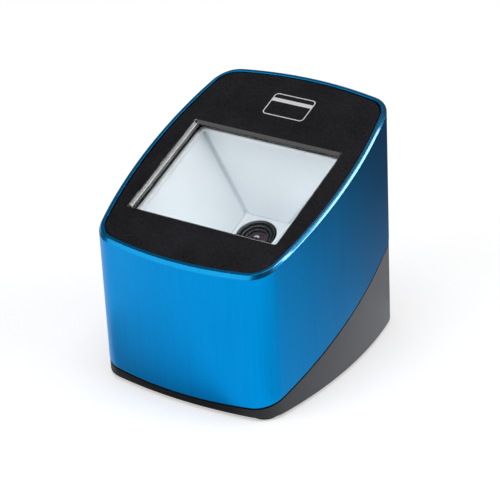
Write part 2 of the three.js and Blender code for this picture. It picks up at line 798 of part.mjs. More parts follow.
function baseOpenings() {
  const under = baseUnder - cutOverrun;
  const over = floorTop + cutOverrun;
  const shoulderLow = postTop - postShoulder;
  const bores = postPlaces.map(({ x, y }) => rod(postBoreRadius, under, shoulderLow, x, y));
  const screwHoles = postPlaces.map(({ x, y }) =>
    rod(caseScrewRadius + holeGap, under, postTop + cutOverrun, x, y),
  );
  const pockets = footPlaces.map(({ x, y }) =>
    rod(footRadius + fitGap, under, baseUnder + footPocketDepth, x, y, turnedSegments),
  );
  const spigotTop = seamPlane(spigotHeight + cutOverrun)(bodyDepth / 2);
  const legRoom = postPlaces.map(({ x, y }) => rod(legRadius + legClearance, postTop, spigotTop, x, y));
  const pilots = boardPlaces.map(({ x, y }) => smallHole(floorTop, over + standoffHeight, x, y));
  const slots = Array.from({ length: slotCount }, (_, i) => {
    const x = buzzerX + (i - (slotCount - 1) / 2) * slotPitch;
    return prism(roundedRectangle(slotWidth, slotLength, slotCorner, x, buzzerY), level(under), level(over));
  });
  const resetHole = rod(resetHoleRadius, under, over, switchX, switchY);
  const label = block(labelWidth, labelLength, under, baseUnder + labelDepth, 0, labelY);
  const width = socketWidth + 2 * fitGap;
  const depth = 2 * (baseWall + spigotWall);
  const socketTop = partsLow + socketHeight + fitGap;
  const socketHole = block(width, depth, partsLow - fitGap, socketTop, 0, bodyDepth / 2);
  const holes = [...bores, ...screwHoles, ...pockets, ...legRoom, ...pilots, ...slots];
  return [...holes, resetHole, label, socketHole];
}

// Feet and case screws.
function addFeetAndScrews() {
  const top = baseUnder + footPocketDepth - solderGap;
  const profile = [
    [0, 0],
    [footRadius - footEdge, 0],
    [footRadius, footEdge],
    [footRadius, top],
    [0, top],
  ];
  for (const { name, x, y } of footPlaces) {
    piece(`rubber_foot_${name}`, turned(profile, x, y), blackRubber);
  }
  const seat = postTop - postShoulder - solderGap;
  for (const { name, x, y } of postPlaces) {
    piece(`case_screw_${name}`, caseScrew(caseScrewLength).translate(x, y, seat), steel);
  }
}

// Main board with its screws and parts.
function addMainBoard() {
  const length = mainBoardRear - mainBoardFront;
  const middle = (mainBoardRear + mainBoardFront) / 2;
  const sheet = block(2 * mainBoardSide, length, mainBoardUnder, mainBoardTop, 0, middle);
  const holes = boardPlaces.map(({ x, y }) =>
    smallHole(mainBoardUnder - cutOverrun, mainBoardTop + cutOverrun, x, y),
  );
  piece("main_board", cut(solid(sheet), holes), circuitBoard);
  const reach = boardThickness + standoffHeight;
  for (const { name, x, y } of boardPlaces) {
    const made = smallScrew(reach).rotateX(Math.PI).translate(x, y, mainBoardTop + solderGap);
    piece(`board_screw_${name}`, made, steel);
  }
  const chipTop = partsLow + processorThickness;
  const chipX = processorSideInset + processorWidth / 2 - mainBoardSide;
  const chipY = socketFront - processorSocketGap - processorWidth / 2;
  const chip = block(processorWidth, processorWidth, partsLow, chipTop, chipX, chipY);
  piece("processor_chip", chip, chipBlack);
  piece("shield_can", shieldCan(), steel);
  piece("buzzer", buzzer(), blackPlastic);
  piece("data_socket", dataSocket(), blackPlastic);
}

function shieldCan() {
  const top = partsLow + canHeight;
  const canX = mainBoardSide - canSideInset - canWidth / 2;
  const canY = mainBoardFront + canFrontInset + canLength / 2;
  const outside = block(canWidth, canLength, partsLow, top, canX, canY);
  const insideWidth = canWidth - 2 * canSheet;
  const insideLength = canLength - 2 * canSheet;
  const inside = block(insideWidth, insideLength, partsLow - cutOverrun, top - canSheet, canX, canY);
  return cut(solid(outside), [inside]);
}

function buzzer() {
  const top = partsLow + buzzerHeight;
  const holeLow = top - buzzerHoleDepth;
  const profile = [
    [0, partsLow],
    [buzzerRadius, partsLow],
    [buzzerRadius, top],
    [buzzerHoleRadius, top],
    [buzzerHoleRadius, holeLow],
    [0, holeLow],
  ];
  return turned(profile, buzzerX, buzzerY);
}

function dataSocket() {
  const shellMiddle = (socketFront + socketRear) / 2;
  const shell = block(socketWidth, socketLength, partsLow, partsLow + socketHeight, 0, shellMiddle);
  const mouthLow = partsLow + mouthLift;
  const mouthLength = mouthDepth + cutOverrun;
  const middle = socketRear + cutOverrun - mouthLength / 2;
  const mouth = block(mouthWidth, mouthLength, mouthLow, mouthLow + mouthHeight, 0, middle);
  const latch = block(latchWidth, mouthLength, mouthLow - latchHeight, mouthLow + mouthHeight, 0, middle);
  return cut(solid(shell), [mouth, latch]);
}

// Reset switch under the main board: its housing traps a flanged plunger.
function addResetSwitch() {
  const top = mainBoardUnder - solderGap;
  const low = top - switchHeight;
  const roomTop = top - switchRoof;
  const roomLow = roomTop - plungerFlangeHeight - plungerTravel - 2 * layerGap;
  const body = block(switchWidth, switchWidth, low, top, switchX, switchY);
  const bore = rod(plungerRadius + layerGap, low - cutOverrun, roomTop, switchX, switchY);
  const room = rod(plungerRadius + plungerFlange + layerGap, roomLow, roomTop, switchX, switchY);
  piece("reset_switch", cut(solid(body), [bore, room]), chipBlack);
  const flangeLow = roomLow + layerGap;
  const profile = [
    [0, low - plungerReach],
    [plungerRadius, low - plungerReach],
    [plungerRadius, flangeLow],
    [plungerRadius + plungerFlange, flangeLow],
    [plungerRadius + plungerFlange, flangeLow + plungerFlangeHeight],
    [0, flangeLow + plungerFlangeHeight],
  ];
  piece("reset_plunger", turned(profile, switchX, switchY, smallSegments), greyPlastic);
}

// Ribbon cables: flat strips along a curve in an upright plane, whose points are [y, z].
function place(y, z) {
  const point = new THREE.Vector3(0, y, z).applyMatrix4(face.matrix);
  return new THREE.Vector2(point.y, point.z);
}

const upSlope = new THREE.Vector2(Math.cos(tilt), Math.sin(tilt));
const downSlope = upSlope.clone().negate();
const forward = new THREE.Vector2(-1, 0);
const backward = new THREE.Vector2(1, 0);
const ribbonStart = ribbonSocketLength / 2 + fitGap;
const ribbonHeight = partsLow + ribbonSocketHeight / 2;

function ribbon(start, startWay, end, endWay, handle, width, x) {
  const startHandle = start.clone().addScaledVector(startWay, handle);
  const endHandle = end.clone().addScaledVector(endWay, handle);
  const curve = new THREE.CubicBezierCurve(start, startHandle, endHandle, end);
  const near = [];
  const far = [];
  for (let i = 0; i <= ribbonSteps; i++) {
    const at = curve.getPoint(i / ribbonSteps);
    const along = curve.getTangent(i / ribbonSteps);
    const side = new THREE.Vector2(-along.y, along.x).multiplyScalar(ribbonThickness / 2);
    near.push(at.clone().add(side));
    far.unshift(at.clone().sub(side));
  }
  const shape = new THREE.Shape([...near, ...far]);
  const strip = new THREE.ExtrudeGeometry(shape, { depth: width, bevelEnabled: false });
  const turn = new THREE.Matrix4().makeBasis(
    new THREE.Vector3(0, 1, 0),
    new THREE.Vector3(0, 0, 1),
    new THREE.Vector3(1, 0, 0),
  );
  return strip.applyMatrix4(turn).translate(x - width / 2, 0, 0);
}

function ribbonSocket(width, x, y, low) {
  return block(width + 2 * ribbonSocketMargin, ribbonSocketLength, low, low + ribbonSocketHeight, x, y);
}

function addEngineRibbon() {
  const low = -sensorBoardUnder - solderGap - ribbonSocketHeight;
  const y = throatY - bracketLength / 2 + engineSocketInset;
  const mainY = mainBoardFront + mainEngineSocketInset + ribbonSocketLength / 2;
  piece("sensor_ribbon_socket", ribbonSocket(engineRibbonWidth, 0, y, low), ribbonWhite, face);
  piece("main_engine_socket", ribbonSocket(engineRibbonWidth, 0, mainY, partsLow), ribbonWhite);
  const start = place(y - ribbonStart, low + ribbonSocketHeight / 2);
  const end = new THREE.Vector2(mainY - ribbonStart, ribbonHeight);
  const strip = ribbon(start, downSlope, end, forward, engineRibbonHandle, engineRibbonWidth, 0);
  piece("engine_ribbon", strip, ribbonWhite);
}

function addLedRibbon() {
  const low = solderGap - ledBoardDepth;
  const y = ledBoardFront + ledSocketInset;
  const mainY = mainBoardFront + mainLedSocketInset + ribbonSocketLength / 2;
  piece("led_ribbon_socket", ribbonSocket(ledRibbonWidth, 0, y, low), ribbonWhite, face);
  piece("main_led_socket", ribbonSocket(ledRibbonWidth, 0, mainY, partsLow), ribbonWhite);
  const start = place(y - ribbonStart, low + ribbonSocketHeight / 2);
  const end = new THREE.Vector2(mainY - ribbonStart, ribbonHeight);
  const strip = ribbon(start, downSlope, end, forward, ledRibbonHandle, ledRibbonWidth, 0);
  piece("led_ribbon", strip, ribbonWhite);
}

function addAntennaRibbon() {
  const low = antennaUnder - solderGap - ribbonSocketHeight;
  const socketHalf = antennaRibbonWidth / 2 + ribbonSocketMargin;
  const x = antennaSocketSideInset + socketHalf - mainBoardSide;
  const mainY = mainBoardRear - mainAntennaSocketInset - ribbonSocketLength / 2;
  piece("antenna_ribbon_socket", ribbonSocket(antennaRibbonWidth, x, antennaY, low), ribbonWhite, face);
  piece("main_antenna_socket", ribbonSocket(antennaRibbonWidth, x, mainY, partsLow), ribbonWhite);
  const start = place(antennaY + ribbonStart, low + ribbonSocketHeight / 2);
  const end = new THREE.Vector2(mainY + ribbonStart, ribbonHeight);
  const strip = ribbon(start, upSlope, end, backward, antennaRibbonHandle, antennaRibbonWidth, x);
  piece("antenna_ribbon", strip, ribbonWhite);
}

// Assembly, from the outside in.
piece("housing_sleeve", sleeve(), blueAluminium);
piece("face_plate", facePlate(), blackPlate);
piece("base_housing", base(), greyPlastic);
addFeetAndScrews();
piece("window_gasket", gasket(), blackRubber, face);
piece("window_pane", pane(), clearPane, face);
piece("light_funnel", funnel(), whitePlastic, face);
piece("led_board", ledBoard(), circuitBoard, face);
addLamps();
piece("camera_bracket", bracket(), blackPlastic, face);
addFaceScrews();
addSensorBoard();
addLensMount();
addLens();
addAntenna();
addMainBoard();
addResetSwitch();
addEngineRibbon();
addLedRibbon();
addAntennaRibbon();

export default scanner;
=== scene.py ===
# %% [markdown]
# A desktop barcode scanner.
# A slanted sleeve of blue aluminium holds a black face plate. Behind the plate's window lies a white
# light funnel, and a small camera looks up from its foot. A dark wedge of plastic closes the sleeve
# below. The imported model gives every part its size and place. This lesson gives every part its fine
# surface, one part at a time, from the outside in.

import json
import math

import bmesh
import bpy
from mathutils import Matrix, Vector


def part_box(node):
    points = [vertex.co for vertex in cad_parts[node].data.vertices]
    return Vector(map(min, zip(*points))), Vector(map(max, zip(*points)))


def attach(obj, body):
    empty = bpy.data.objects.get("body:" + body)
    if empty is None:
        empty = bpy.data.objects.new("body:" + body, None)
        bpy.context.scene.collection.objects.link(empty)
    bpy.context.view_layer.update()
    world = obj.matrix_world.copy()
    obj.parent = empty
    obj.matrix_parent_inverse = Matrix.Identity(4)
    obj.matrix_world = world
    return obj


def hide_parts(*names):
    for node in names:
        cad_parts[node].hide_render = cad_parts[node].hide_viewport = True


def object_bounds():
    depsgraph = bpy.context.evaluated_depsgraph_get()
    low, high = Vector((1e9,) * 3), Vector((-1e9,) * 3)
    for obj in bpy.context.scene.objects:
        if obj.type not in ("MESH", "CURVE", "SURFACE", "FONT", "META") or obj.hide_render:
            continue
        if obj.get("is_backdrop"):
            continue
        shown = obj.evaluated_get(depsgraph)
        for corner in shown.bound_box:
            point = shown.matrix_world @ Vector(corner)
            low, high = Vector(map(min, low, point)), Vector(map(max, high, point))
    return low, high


MM = 0.001
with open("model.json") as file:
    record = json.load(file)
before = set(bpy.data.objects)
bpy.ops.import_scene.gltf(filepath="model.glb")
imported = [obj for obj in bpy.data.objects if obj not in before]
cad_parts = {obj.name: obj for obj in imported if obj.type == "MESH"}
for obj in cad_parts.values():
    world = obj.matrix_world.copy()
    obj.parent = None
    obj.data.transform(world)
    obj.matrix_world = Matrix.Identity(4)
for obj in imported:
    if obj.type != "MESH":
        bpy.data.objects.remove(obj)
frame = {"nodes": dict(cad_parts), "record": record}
nodes = frame["nodes"]
cad_low, cad_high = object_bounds()
slot_of = {part["node"]: part["material_slot"] for part in frame["record"]["subparts"]}
print("frame:", len(nodes), "parts, box in mm", [round(x / MM, 2) for x in cad_high - cad_low])

# %% [markdown]
# The sizes that everything follows.
# All sizes here are in millimetres, and they become metres when a mesh is made. The body is an upright
# prism: seen from above, its outline has four wide arcs joined by four corner arcs. Two parallel slanted
# planes cut it, one at the rim and one at the seam above the base. So each ring of a piece can be written
# as an inset from the outline and a height above the desk.

# %% Sizes of the body
sleeve_low, sleeve_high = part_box("housing_sleeve")
body_width = (sleeve_high.x - sleeve_low.x) / MM
body_depth = (sleeve_high.y - sleeve_low.y) / MM
front_bulge = 4.94
side_bulge = 6.54
corner_radius = 10.4
tilt = math.radians(19.4)
slope = math.tan(tilt)
rim_height = 70.9
seam_height = 20.4
fit_gap = 0.3
print("body outline", round(body_width, 2), "by", round(body_depth, 2), "mm")


# %% Slanted planes and the face's own axes
def rim(depth=0.0, fall=0.0):
    """Height of the rim's plane along Y. A depth is square to its slope, and a fall is straight down."""
    return lambda y: rim_height + slope * y - depth / math.cos(tilt) - fall


def seam(rise=0.0):
    """Height of the seam's plane along Y, plus a rise."""
    return lambda y: seam_height + slope * y + rise


def level(height):
    return lambda y: height


def share_of(value, start, run):
    """How much of a run a value has gone past its start, from 0 to 1."""
    return min(1.0, max(0.0, (value - start) / run))


def box_middle(node):
    """The middle of a part of the frame, in millimetres."""
    low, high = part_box(node)
    return (low + high) / 2 / MM


upright = Matrix()
on_face = Matrix.Translation((0, 0, rim_height)) @ Matrix.Rotation(tilt, 4, "X")
off_face = on_face.inverted()
rim_ends = [round(rim()(y), 2) for y in (-body_depth / 2, body_depth / 2)]
print("the rim's plane is at", rim_ends, "mm at the front and the back")

# %% [markdown]
# The camera.
# The photograph was taken from the front right and above with a long lens, which keeps the upright
# edges almost parallel. An azimuth, an elevation, a distance and a small roll say the same as a matrix
# would, and stay readable. The long focal length goes with the large distance.

# %% Camera
camera_azimuth = math.radians(34.436)
camera_elevation = math.radians(27.783)
camera_roll = math.radians(-2.902)
camera_distance = 779.3
camera_target = Vector((1.0, -0.1, 38.7))
camera_lens = 159.66


def direction(azimuth, elevation):
    """A unit vector from the object towards an azimuth, from the front towards the right, and elevation."""
    flat = math.cos(elevation)
    return Vector((math.sin(azimuth) * flat, -math.cos(azimuth) * flat, math.sin(elevation)))


def aimed(position, target, roll=0.0):
    """The matrix that stands something at a position, in millimetres, and turns its -Z to a target."""
    back = (position - target).normalized()
    flat_right = Vector((0, 0, 1)).cross(back).normalized()
    flat_up = back.cross(flat_right)
    right = flat_right * math.cos(roll) + flat_up * math.sin(roll)
    up = back.cross(right)
    turn = Matrix((right, up, back)).transposed().to_4x4()
    return Matrix.Translation(position * MM) @ turn


lens = bpy.data.cameras.new("photo_view")
lens.lens = camera_lens
camera = bpy.data.objects.new("photo_view", lens)
bpy.context.scene.collection.objects.link(camera)
camera_position = camera_target + direction(camera_azimuth, camera_elevation) * camera_distance
camera.matrix_world = aimed(camera_position, camera_target, camera_roll)
bpy.context.scene.camera = camera
print("camera at", [round(x, 1) for x in camera_position], "mm")

# %% [markdown]
# Light and floor.
# Anodised metal shows what stands around it, so the lamps are large soft panels. One hangs at the front
# left and lights the front, the funnel and the front of the rim. A long narrow one at the right draws the
# bright line along the right side of the rim. One hangs overhead and lights the funnel. The floor is
# white paper. Photographers set cards round a metal object to shape its reflections, and three cards do
# that here: one on the right and behind gives the right side its deep blue, a small one darkens the foot
# of the front, and a black flag hangs between the lamps. The camera can't see them, and they cast no
# shadow.

# %% Helpers for nodes
def add(tree, kind, inputs=None, **settings):
    """Adds a node, sets its settings, and fills its inputs with values or links."""
    made = tree.nodes.new(kind)
    for key, value in settings.items():
        setattr(made, key, value)
    for key, value in (inputs or {}).items():
        if isinstance(value, bpy.types.NodeSocket):
            tree.links.new(value, made.inputs[key])
        else:
            made.inputs[key].default_value = value
    return made


def finish(name, sockets):
    """A new material with these values typed on its shader."""
    material = bpy.data.materials.new(name)
    material.use_nodes = True
    tree = material.node_tree
    shader = tree.nodes["Principled BSDF"]
    for key, value in sockets.items():
        shader.inputs[key].default_value = value
    return material, tree, shader


def link(tree, source, shader, socket):
    tree.links.new(source, shader.inputs[socket])


def between(tree, factor, low, high, start=0.3, end=0.7):
    """Maps a factor's stretch from start to end onto the stretch from low to high."""
    values = {"Value": factor, "From Min": start, "From Max": end, "To Min": low, "To Max": high}
    return add(tree, "ShaderNodeMapRange", values).outputs["Result"]


def tones(tree, factor, stops):
    """A colour ramp from (place, colour) stops. A new ramp has two stops already."""
    ramp = add(tree, "ShaderNodeValToRGB", {"Fac": factor})
    for index, (place, colour) in enumerate(stops):
        if index < 2:
            stop = ramp.color_ramp.elements[index]
            stop.position = place
        else:
            stop = ramp.color_ramp.elements.new(place)
        stop.color = (*colour, 1)
    return ramp.outputs["Color"]


print("helpers for nodes:", [helper.__name__ for helper in (add, finish, link, between, tones)])

# %% Lamps and world
studio = bpy.context.scene
studio.view_settings.view_transform = "Standard"
world_strength = 0.2
middle_height = 40


def softbox(name, azimuth, elevation, distance, width, height, power):
    """A soft panel that looks at the object. Its angles are in degrees, its sizes in millimetres."""
    lamp = bpy.data.lights.new(name, "AREA")
    lamp.shape = "RECTANGLE"
    lamp.size = width * MM
    lamp.size_y = height * MM
    lamp.energy = power
    stand = bpy.data.objects.new(name, lamp)
    studio.collection.objects.link(stand)
    middle = Vector((0, 0, middle_height))
    place = middle + direction(math.radians(azimuth), math.radians(elevation)) * distance
    stand.matrix_world = aimed(place, middle)


world = bpy.data.worlds.new("studio_world")
world.use_nodes = True
world.node_tree.nodes["Background"].inputs["Color"].default_value = (1.0, 1.0, 1.0, 1)
world.node_tree.nodes["Background"].inputs["Strength"].default_value = world_strength
studio.world = world
softbox("front_left_panel", azimuth=-26, elevation=27, distance=1400, width=1450, height=1050, power=7.0)
softbox("right_strip", azimuth=109, elevation=40, distance=1200, width=1080, height=180, power=3.2)
softbox("top_panel", azimuth=0, elevation=89, distance=1300, width=900, height=900, power=5.6)

# %% The floor's paper
floor_reach = 6000
floor_sides = 64
floor_glow = 0.42


def floor_paper():
    """Near-white paper. The camera and mirrors see it a little lighter, so that open floor is white."""
    sockets = {"Base Color": (0.92, 0.92, 0.92, 1), "Roughness": 0.9, "Specular IOR Level": 0.2}
    material, tree, shader = finish("floor_paper", sockets)
    shader.inputs["Emission Color"].default_value = (1, 1, 1, 1)
    rays = add(tree, "ShaderNodeLightPath")
    seen = {0: rays.outputs["Is Camera Ray"], 1: rays.outputs["Is Glossy Ray"]}
    either = add(tree, "ShaderNodeMath", seen, operation="MAXIMUM")
    seen = {0: either.outputs["Value"], 1: rays.outputs["Is Transmission Ray"]}
    any_ray = add(tree, "ShaderNodeMath", seen, operation="MAXIMUM")
    link(tree, between(tree, any_ray.outputs["Value"], 0.0, floor_glow, 0, 1), shader, "Emission Strength")
    return material


def flat(name, corners, material):
    """A flat sheet of the stage through these corners, in millimetres."""
    mesh = bpy.data.meshes.new(name)
    mesh.from_pydata([Vector(point) * MM for point in corners], [], [tuple(range(len(corners)))])
    mesh.materials.append(material)
    sheet = bpy.data.objects.new(name, mesh)
    studio.collection.objects.link(sheet)
    sheet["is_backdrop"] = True
    return sheet


turns = [2 * math.pi * step / floor_sides for step in range(floor_sides)]
flat("floor", [(floor_reach * math.cos(t), floor_reach * math.sin(t), 0) for t in turns], floor_paper())
print("floor:", 2 * floor_reach, "mm across")

# %% Greys that change along a direction
card_glow = 0.3


def grey_along(tree, way, start, end, greys):
    """Grey that changes along a direction from start to end, in millimetres, by (place, grey) stops."""
    place = add(tree, "ShaderNodeTexCoord").outputs["Object"]
    values = {0: place, 1: way}
    along = add(tree, "ShaderNodeVectorMath", values, operation="DOT_PRODUCT").outputs["Value"]
    depth = between(tree, along, 0, 1, start * MM, end * MM)
    return tones(tree, depth, [(at, (grey, grey, grey)) for at, grey in greys])


def card_grey(name, start, end, greys):
    """Card whose grey changes along Y."""
    sockets = {"Roughness": 0.9, "Specular IOR Level": 0.1, "Emission Strength": card_glow}
    material, tree, shader = finish(name, sockets)
    shade = grey_along(tree, (0, 1, 0), start, end, greys)
    link(tree, shade, shader, "Base Color")
    link(tree, shade, shader, "Emission Color")
    return material


print("helpers for cards:", [helper.__name__ for helper in (grey_along, card_grey)])

# %% The cards and the flag
card_height = 0.5
card_left = 46
card_front = -90
card_far = 200
card_reach = 900
card_gap = 6
foot_card_left = -70
foot_card_right = 25
foot_card_near = -46
foot_card_far = -130
flag_azimuth = math.radians(44)
flag_elevation = math.radians(47)
flag_distance = 900
flag_width = 860
flag_height = 330
behind = body_depth / 2 + card_gap
side_outline = [
    (card_left, card_front),
    (card_reach, card_front),
    (card_reach, card_reach),
    (-card_left, card_reach),
    (-card_left, behind),
    (card_left, behind),
]
foot_outline = [
    (foot_card_left, foot_card_far),
    (foot_card_right, foot_card_near),
    (foot_card_left, foot_card_near),
]
side_near = [(0, 0.98), (0.2, 0.84), (0.35, 0.64), (0.44, 0.53)]
side_greys = side_near + [(0.55, 0.38), (0.69, 0.24), (0.82, 0.12), (1, 0.07)]
foot_greys = [(0, 1.0), (0.35, 0.98), (0.6, 0.9), (0.8, 0.72), (1, 0.42)]
side_grey = card_grey("side_card_grey", card_front, card_far, side_greys)
foot_grey = card_grey("foot_card_grey", foot_card_far, foot_card_near, foot_greys)
flag_black = card_grey("flag_black", -card_reach, card_reach, [(0, 0.004), (1, 0.012)])
hung = aimed(direction(flag_azimuth, flag_elevation) * flag_distance, Vector((0, 0, middle_height)))
flag_signs = [(-1, -1), (1, -1), (1, 1), (-1, 1)]
flag_halves = [Vector((i * flag_width / 2, j * flag_height / 2, 0)) for i, j in flag_signs]
cards = [
    flat("side_card", [(x, y, card_height) for x, y in side_outline], side_grey),
    flat("foot_card", [(x, y, card_height) for x, y in foot_outline], foot_grey),
    flat("flag", [hung @ (half * MM) / MM for half in flag_halves], flag_black),
]
for card in cards:
    card.visible_camera = False
    card.visible_shadow = False
    card.visible_diffuse = False
print("cards:", [card.name for card in cards])

# %% [markdown]
# Helpers that make meshes.
# Most pieces here are a stack of rings with the same number of points, so that one face joins each pair
# of points in neighbouring rings. A ring follows the body outline, the window or a circle. Every edge
# that a finger could feel is a little rounded on a real product, and that roundness catches the light.
# So `eased` swaps a ring for a few rings on a small curve, with one more on each side that keeps the
# flat faces flat in the shading.

# %% The body outline
wide_steps = 40
corner_steps = 16


def arc_radius(half_chord, rise):
    return (half_chord**2 + rise**2) / (2 * rise)


front_radius = arc_radius(body_width / 2, front_bulge)
side_radius = arc_radius(body_depth / 2, side_bulge)
front_centre = Vector((0, front_radius - body_depth / 2))
side_centre = Vector((body_width / 2 - side_radius, 0))


def front_corner_centre():
    """The centre of the front right corner arc, which touches a front and a side arc from inside."""
    across = side_centre - front_centre
    span = across.length
    front_reach = front_radius - corner_radius
    side_reach = side_radius - corner_radius
    along = (front_reach**2 - side_reach**2 + span**2) / (2 * span)
    outward = Vector((-across.y, across.x)).normalized()
    return front_centre + across.normalized() * along + outward * math.sqrt(front_reach**2 - along**2)


corner = front_corner_centre()
front_end = math.atan2(corner.y - front_centre.y, corner.x)
side_start = math.atan2(corner.y, corner.x - side_centre.x)


def outline_arcs():
    """Each arc of the outline: its centre, its radius, its first and last angle, and its steps."""
    x, y = corner
    turn = math.pi
    return [
        (0, front_centre.y, front_radius, -turn - front_end, front_end, wide_steps),
        (x, y, corner_radius, front_end, side_start, corner_steps),
        (side_centre.x, 0, side_radius, side_start, -side_start, wide_steps),
        (x, -y, corner_radius, -side_start, -front_end, corner_steps),
        (0, -front_centre.y, front_radius, -front_end, turn + front_end, wide_steps),
        (-x, -y, corner_radius, turn + front_end, turn + side_start, corner_steps),
        (-side_centre.x, 0, side_radius, turn + side_start, turn - side_start, wide_steps),
        (-x, y, corner_radius, turn - side_start, turn - front_end, corner_steps),
    ]


def body_ring(inset, height):
    """A ring at an inset from the outline. Both values are numbers or functions of the place along Y."""
    ring = []
    for x, y, radius, start, end, steps in outline_arcs():
        for step in range(steps):
            angle = start + (end - start) * step / steps
            edge_y = y + radius * math.sin(angle)
            reach = radius - (inset(edge_y) if callable(inset) else inset)
            at = Vector((x + reach * math.cos(angle), y + reach * math.sin(angle), 0))
            at.z = height(at.y)
            ring.append(at)
    return ring


print("points in a body ring:", len(body_ring(0, level(0))))


# %% Rings around the window, and circles
def rounded_ring(width, length, radius, height, x=0.0, y=0.0):
    """A rounded rectangle whose points pair with those of a body ring."""
    half = Vector((width / 2 - radius, length / 2 - radius, 0))
    middle = Vector((x, y, height))
    signs = [(1, -1), (1, 1), (-1, 1), (-1, -1)]
    centres = [middle + Vector((i * half.x, j * half.y, 0)) for i, j in signs]
    ring = []
    for index, centre in enumerate(centres):
        start = (index - 1) * math.pi / 2
        before = centres[index - 1]
        out = Vector((math.cos(start), math.sin(start), 0)) * radius
        ring += [before.lerp(centre, step / wide_steps) + out for step in range(wide_steps)]
        for step in range(corner_steps):
            angle = start + step / corner_steps * math.pi / 2
            ring.append(centre + Vector((math.cos(angle), math.sin(angle), 0)) * radius)
    return ring


def circle_like(ring, radius, height):
    """A circle around a ring's middle, with a point on it for each point of the ring."""
    middle = sum(ring, Vector()) / len(ring)
    made = []
    for point in ring:
        out = (point - middle).to_2d().normalized() * radius
        made.append(Vector((middle.x + out.x, middle.y + out.y, height)))
    return made


def circle(radius, height, sides=64, x=0.0, y=0.0):
    turns = [2 * math.pi * side / sides for side in range(sides)]
    return [Vector((x + radius * math.cos(t), y + radius * math.sin(t), height)) for t in turns]


print("points in a window ring:", len(rounded_ring(body_width, body_depth, corner_radius, 0)))

# %% Rounded edges
support_gap = 0.3
curve_share = 0.4
support_share = 0.47
same_point = 1e-9


def toward(start, end, distance, most):
    """The point a distance from start towards end, at most a share of the way."""
    gap = end - start
    reach = gap.length
    if reach < same_point:
        return start.copy()
    return start + gap * (min(distance, most * reach) / reach)


def eased(rings, sizes, closed=True, steps=3):
    """Swaps each ring for rings on a small curve towards its neighbours. A size of 0 keeps the ring."""
    made = []
    for index, (ring, size) in enumerate(zip(rings, sizes)):
        ends = not closed and index in (0, len(rings) - 1)
        if not size or ends:
            made.append(ring)
            continue
        before = rings[index - 1]
        after = rings[(index + 1) % len(rings)]
        low = [toward(p, q, size, curve_share) for p, q in zip(ring, before)]
        high = [toward(p, q, size, curve_share) for p, q in zip(ring, after)]
        made.append([toward(p, q, size + support_gap, support_share) for p, q in zip(ring, before)])
        for step in range(steps + 1):
            share = step / steps
            curve = zip(low, ring, high)
            made.append([a.lerp(p, share).lerp(p.lerp(b, share), share) for a, p, b in curve])
        made.append([toward(p, q, size + support_gap, support_share) for p, q in zip(ring, after)])
    return made


print("an edge becomes", len(eased([[corner], [side_centre]], [1, 0])) - 1, "rings")


# %% From rings to a mesh object
merge_reach = 0.0005
sliver_reach = 0.0002
weld_reach = 0.001


def as_object(name, points, faces, place=upright):
    """A mesh object from points in millimetres. Points that coincide are merged, and faces look outwards."""
    mesh = bpy.data.meshes.new(name)
    mesh.from_pydata([place @ Vector(point) * MM for point in points], [], faces)
    work = bmesh.new()
    work.from_mesh(mesh)
    bmesh.ops.remove_doubles(work, verts=work.verts, dist=merge_reach * MM)
    bmesh.ops.dissolve_degenerate(work, edges=work.edges, dist=sliver_reach * MM)
    bmesh.ops.recalc_face_normals(work, faces=work.faces)
    if work.calc_volume(signed=True) < 0:
        bmesh.ops.reverse_faces(work, faces=work.faces)
    work.to_mesh(mesh)
    work.free()
    made = bpy.data.objects.new(name, mesh)
    studio.collection.objects.link(made)
    return made


def skin(rings, closed):
    """The faces that join each pair of points in neighbouring rings."""
    count = len(rings[0])
    faces = []
    for layer in range(len(rings) if closed else len(rings) - 1):
        low = layer * count
        high = (layer + 1) % len(rings) * count
        faces += [(low + i, low + (i + 1) % count, high + (i + 1) % count, high + i) for i in range(count)]
    return faces


def shell(name, rings, closed=True, place=upright):
    """A skin over rings. Closed, the last ring joins the first; otherwise both ends get a cap."""
    count = len(rings[0])
    points = [point for ring in rings for point in ring]
    faces = skin(rings, closed)
    if not closed:
        top = len(points) - count
        faces.append(tuple(reversed(range(count))))
        faces.append(tuple(range(top, top + count)))
    return as_object(name, points, faces, place)


print("helpers for meshes:", [helper.__name__ for helper in (as_object, skin, shell)])


# %% Turned pieces, blocks and rods
def turned(name, profile, sizes=None, x=0.0, y=0.0, sides=64, place=upright, steps=3):
    """A turned piece from (radius, height) pairs, from the axis back to the axis or round in a loop."""
    rings = [circle(radius, height, sides, x, y) for radius, height in profile]
    closed = profile[0][0] > 0
    if sizes:
        rings = eased(rings, sizes, closed, steps)
    return as_object(name, [point for ring in rings for point in ring], skin(rings, closed), place)


def block(name, width, length, low, high, x=0.0, y=0.0, place=upright):
    signs = [(-1, -1), (1, -1), (1, 1), (-1, 1)]
    rings = [[Vector((x + i * width / 2, y + j * length / 2, z)) for i, j in signs] for z in (low, high)]
    return shell(name, rings, False, place)


def rod(radius, low, high, x=0.0, y=0.0, sides=48, place=upright):
    return turned("rod", [(0, low), (radius, low), (radius, high), (0, high)], None, x, y, sides, place)


def rods(places, radius, low, high, sides=48, place=upright):
    return [rod(radius, low, high, x, y, sides, place) for x, y in places]


print("helpers for shapes:", [helper.__name__ for helper in (turned, block, rod, rods)])


# %% Cuts and joins
overshoot = 1.0


def plain_mesh(made):
    """Applies an object's modifiers to its mesh."""
    graph = bpy.context.evaluated_depsgraph_get()
    mesh = bpy.data.meshes.new_from_object(made.evaluated_get(graph), depsgraph=graph)
    made.modifiers.clear()
    old = made.data
    made.data = mesh
    mesh.name = made.name
    bpy.data.meshes.remove(old)
    return made


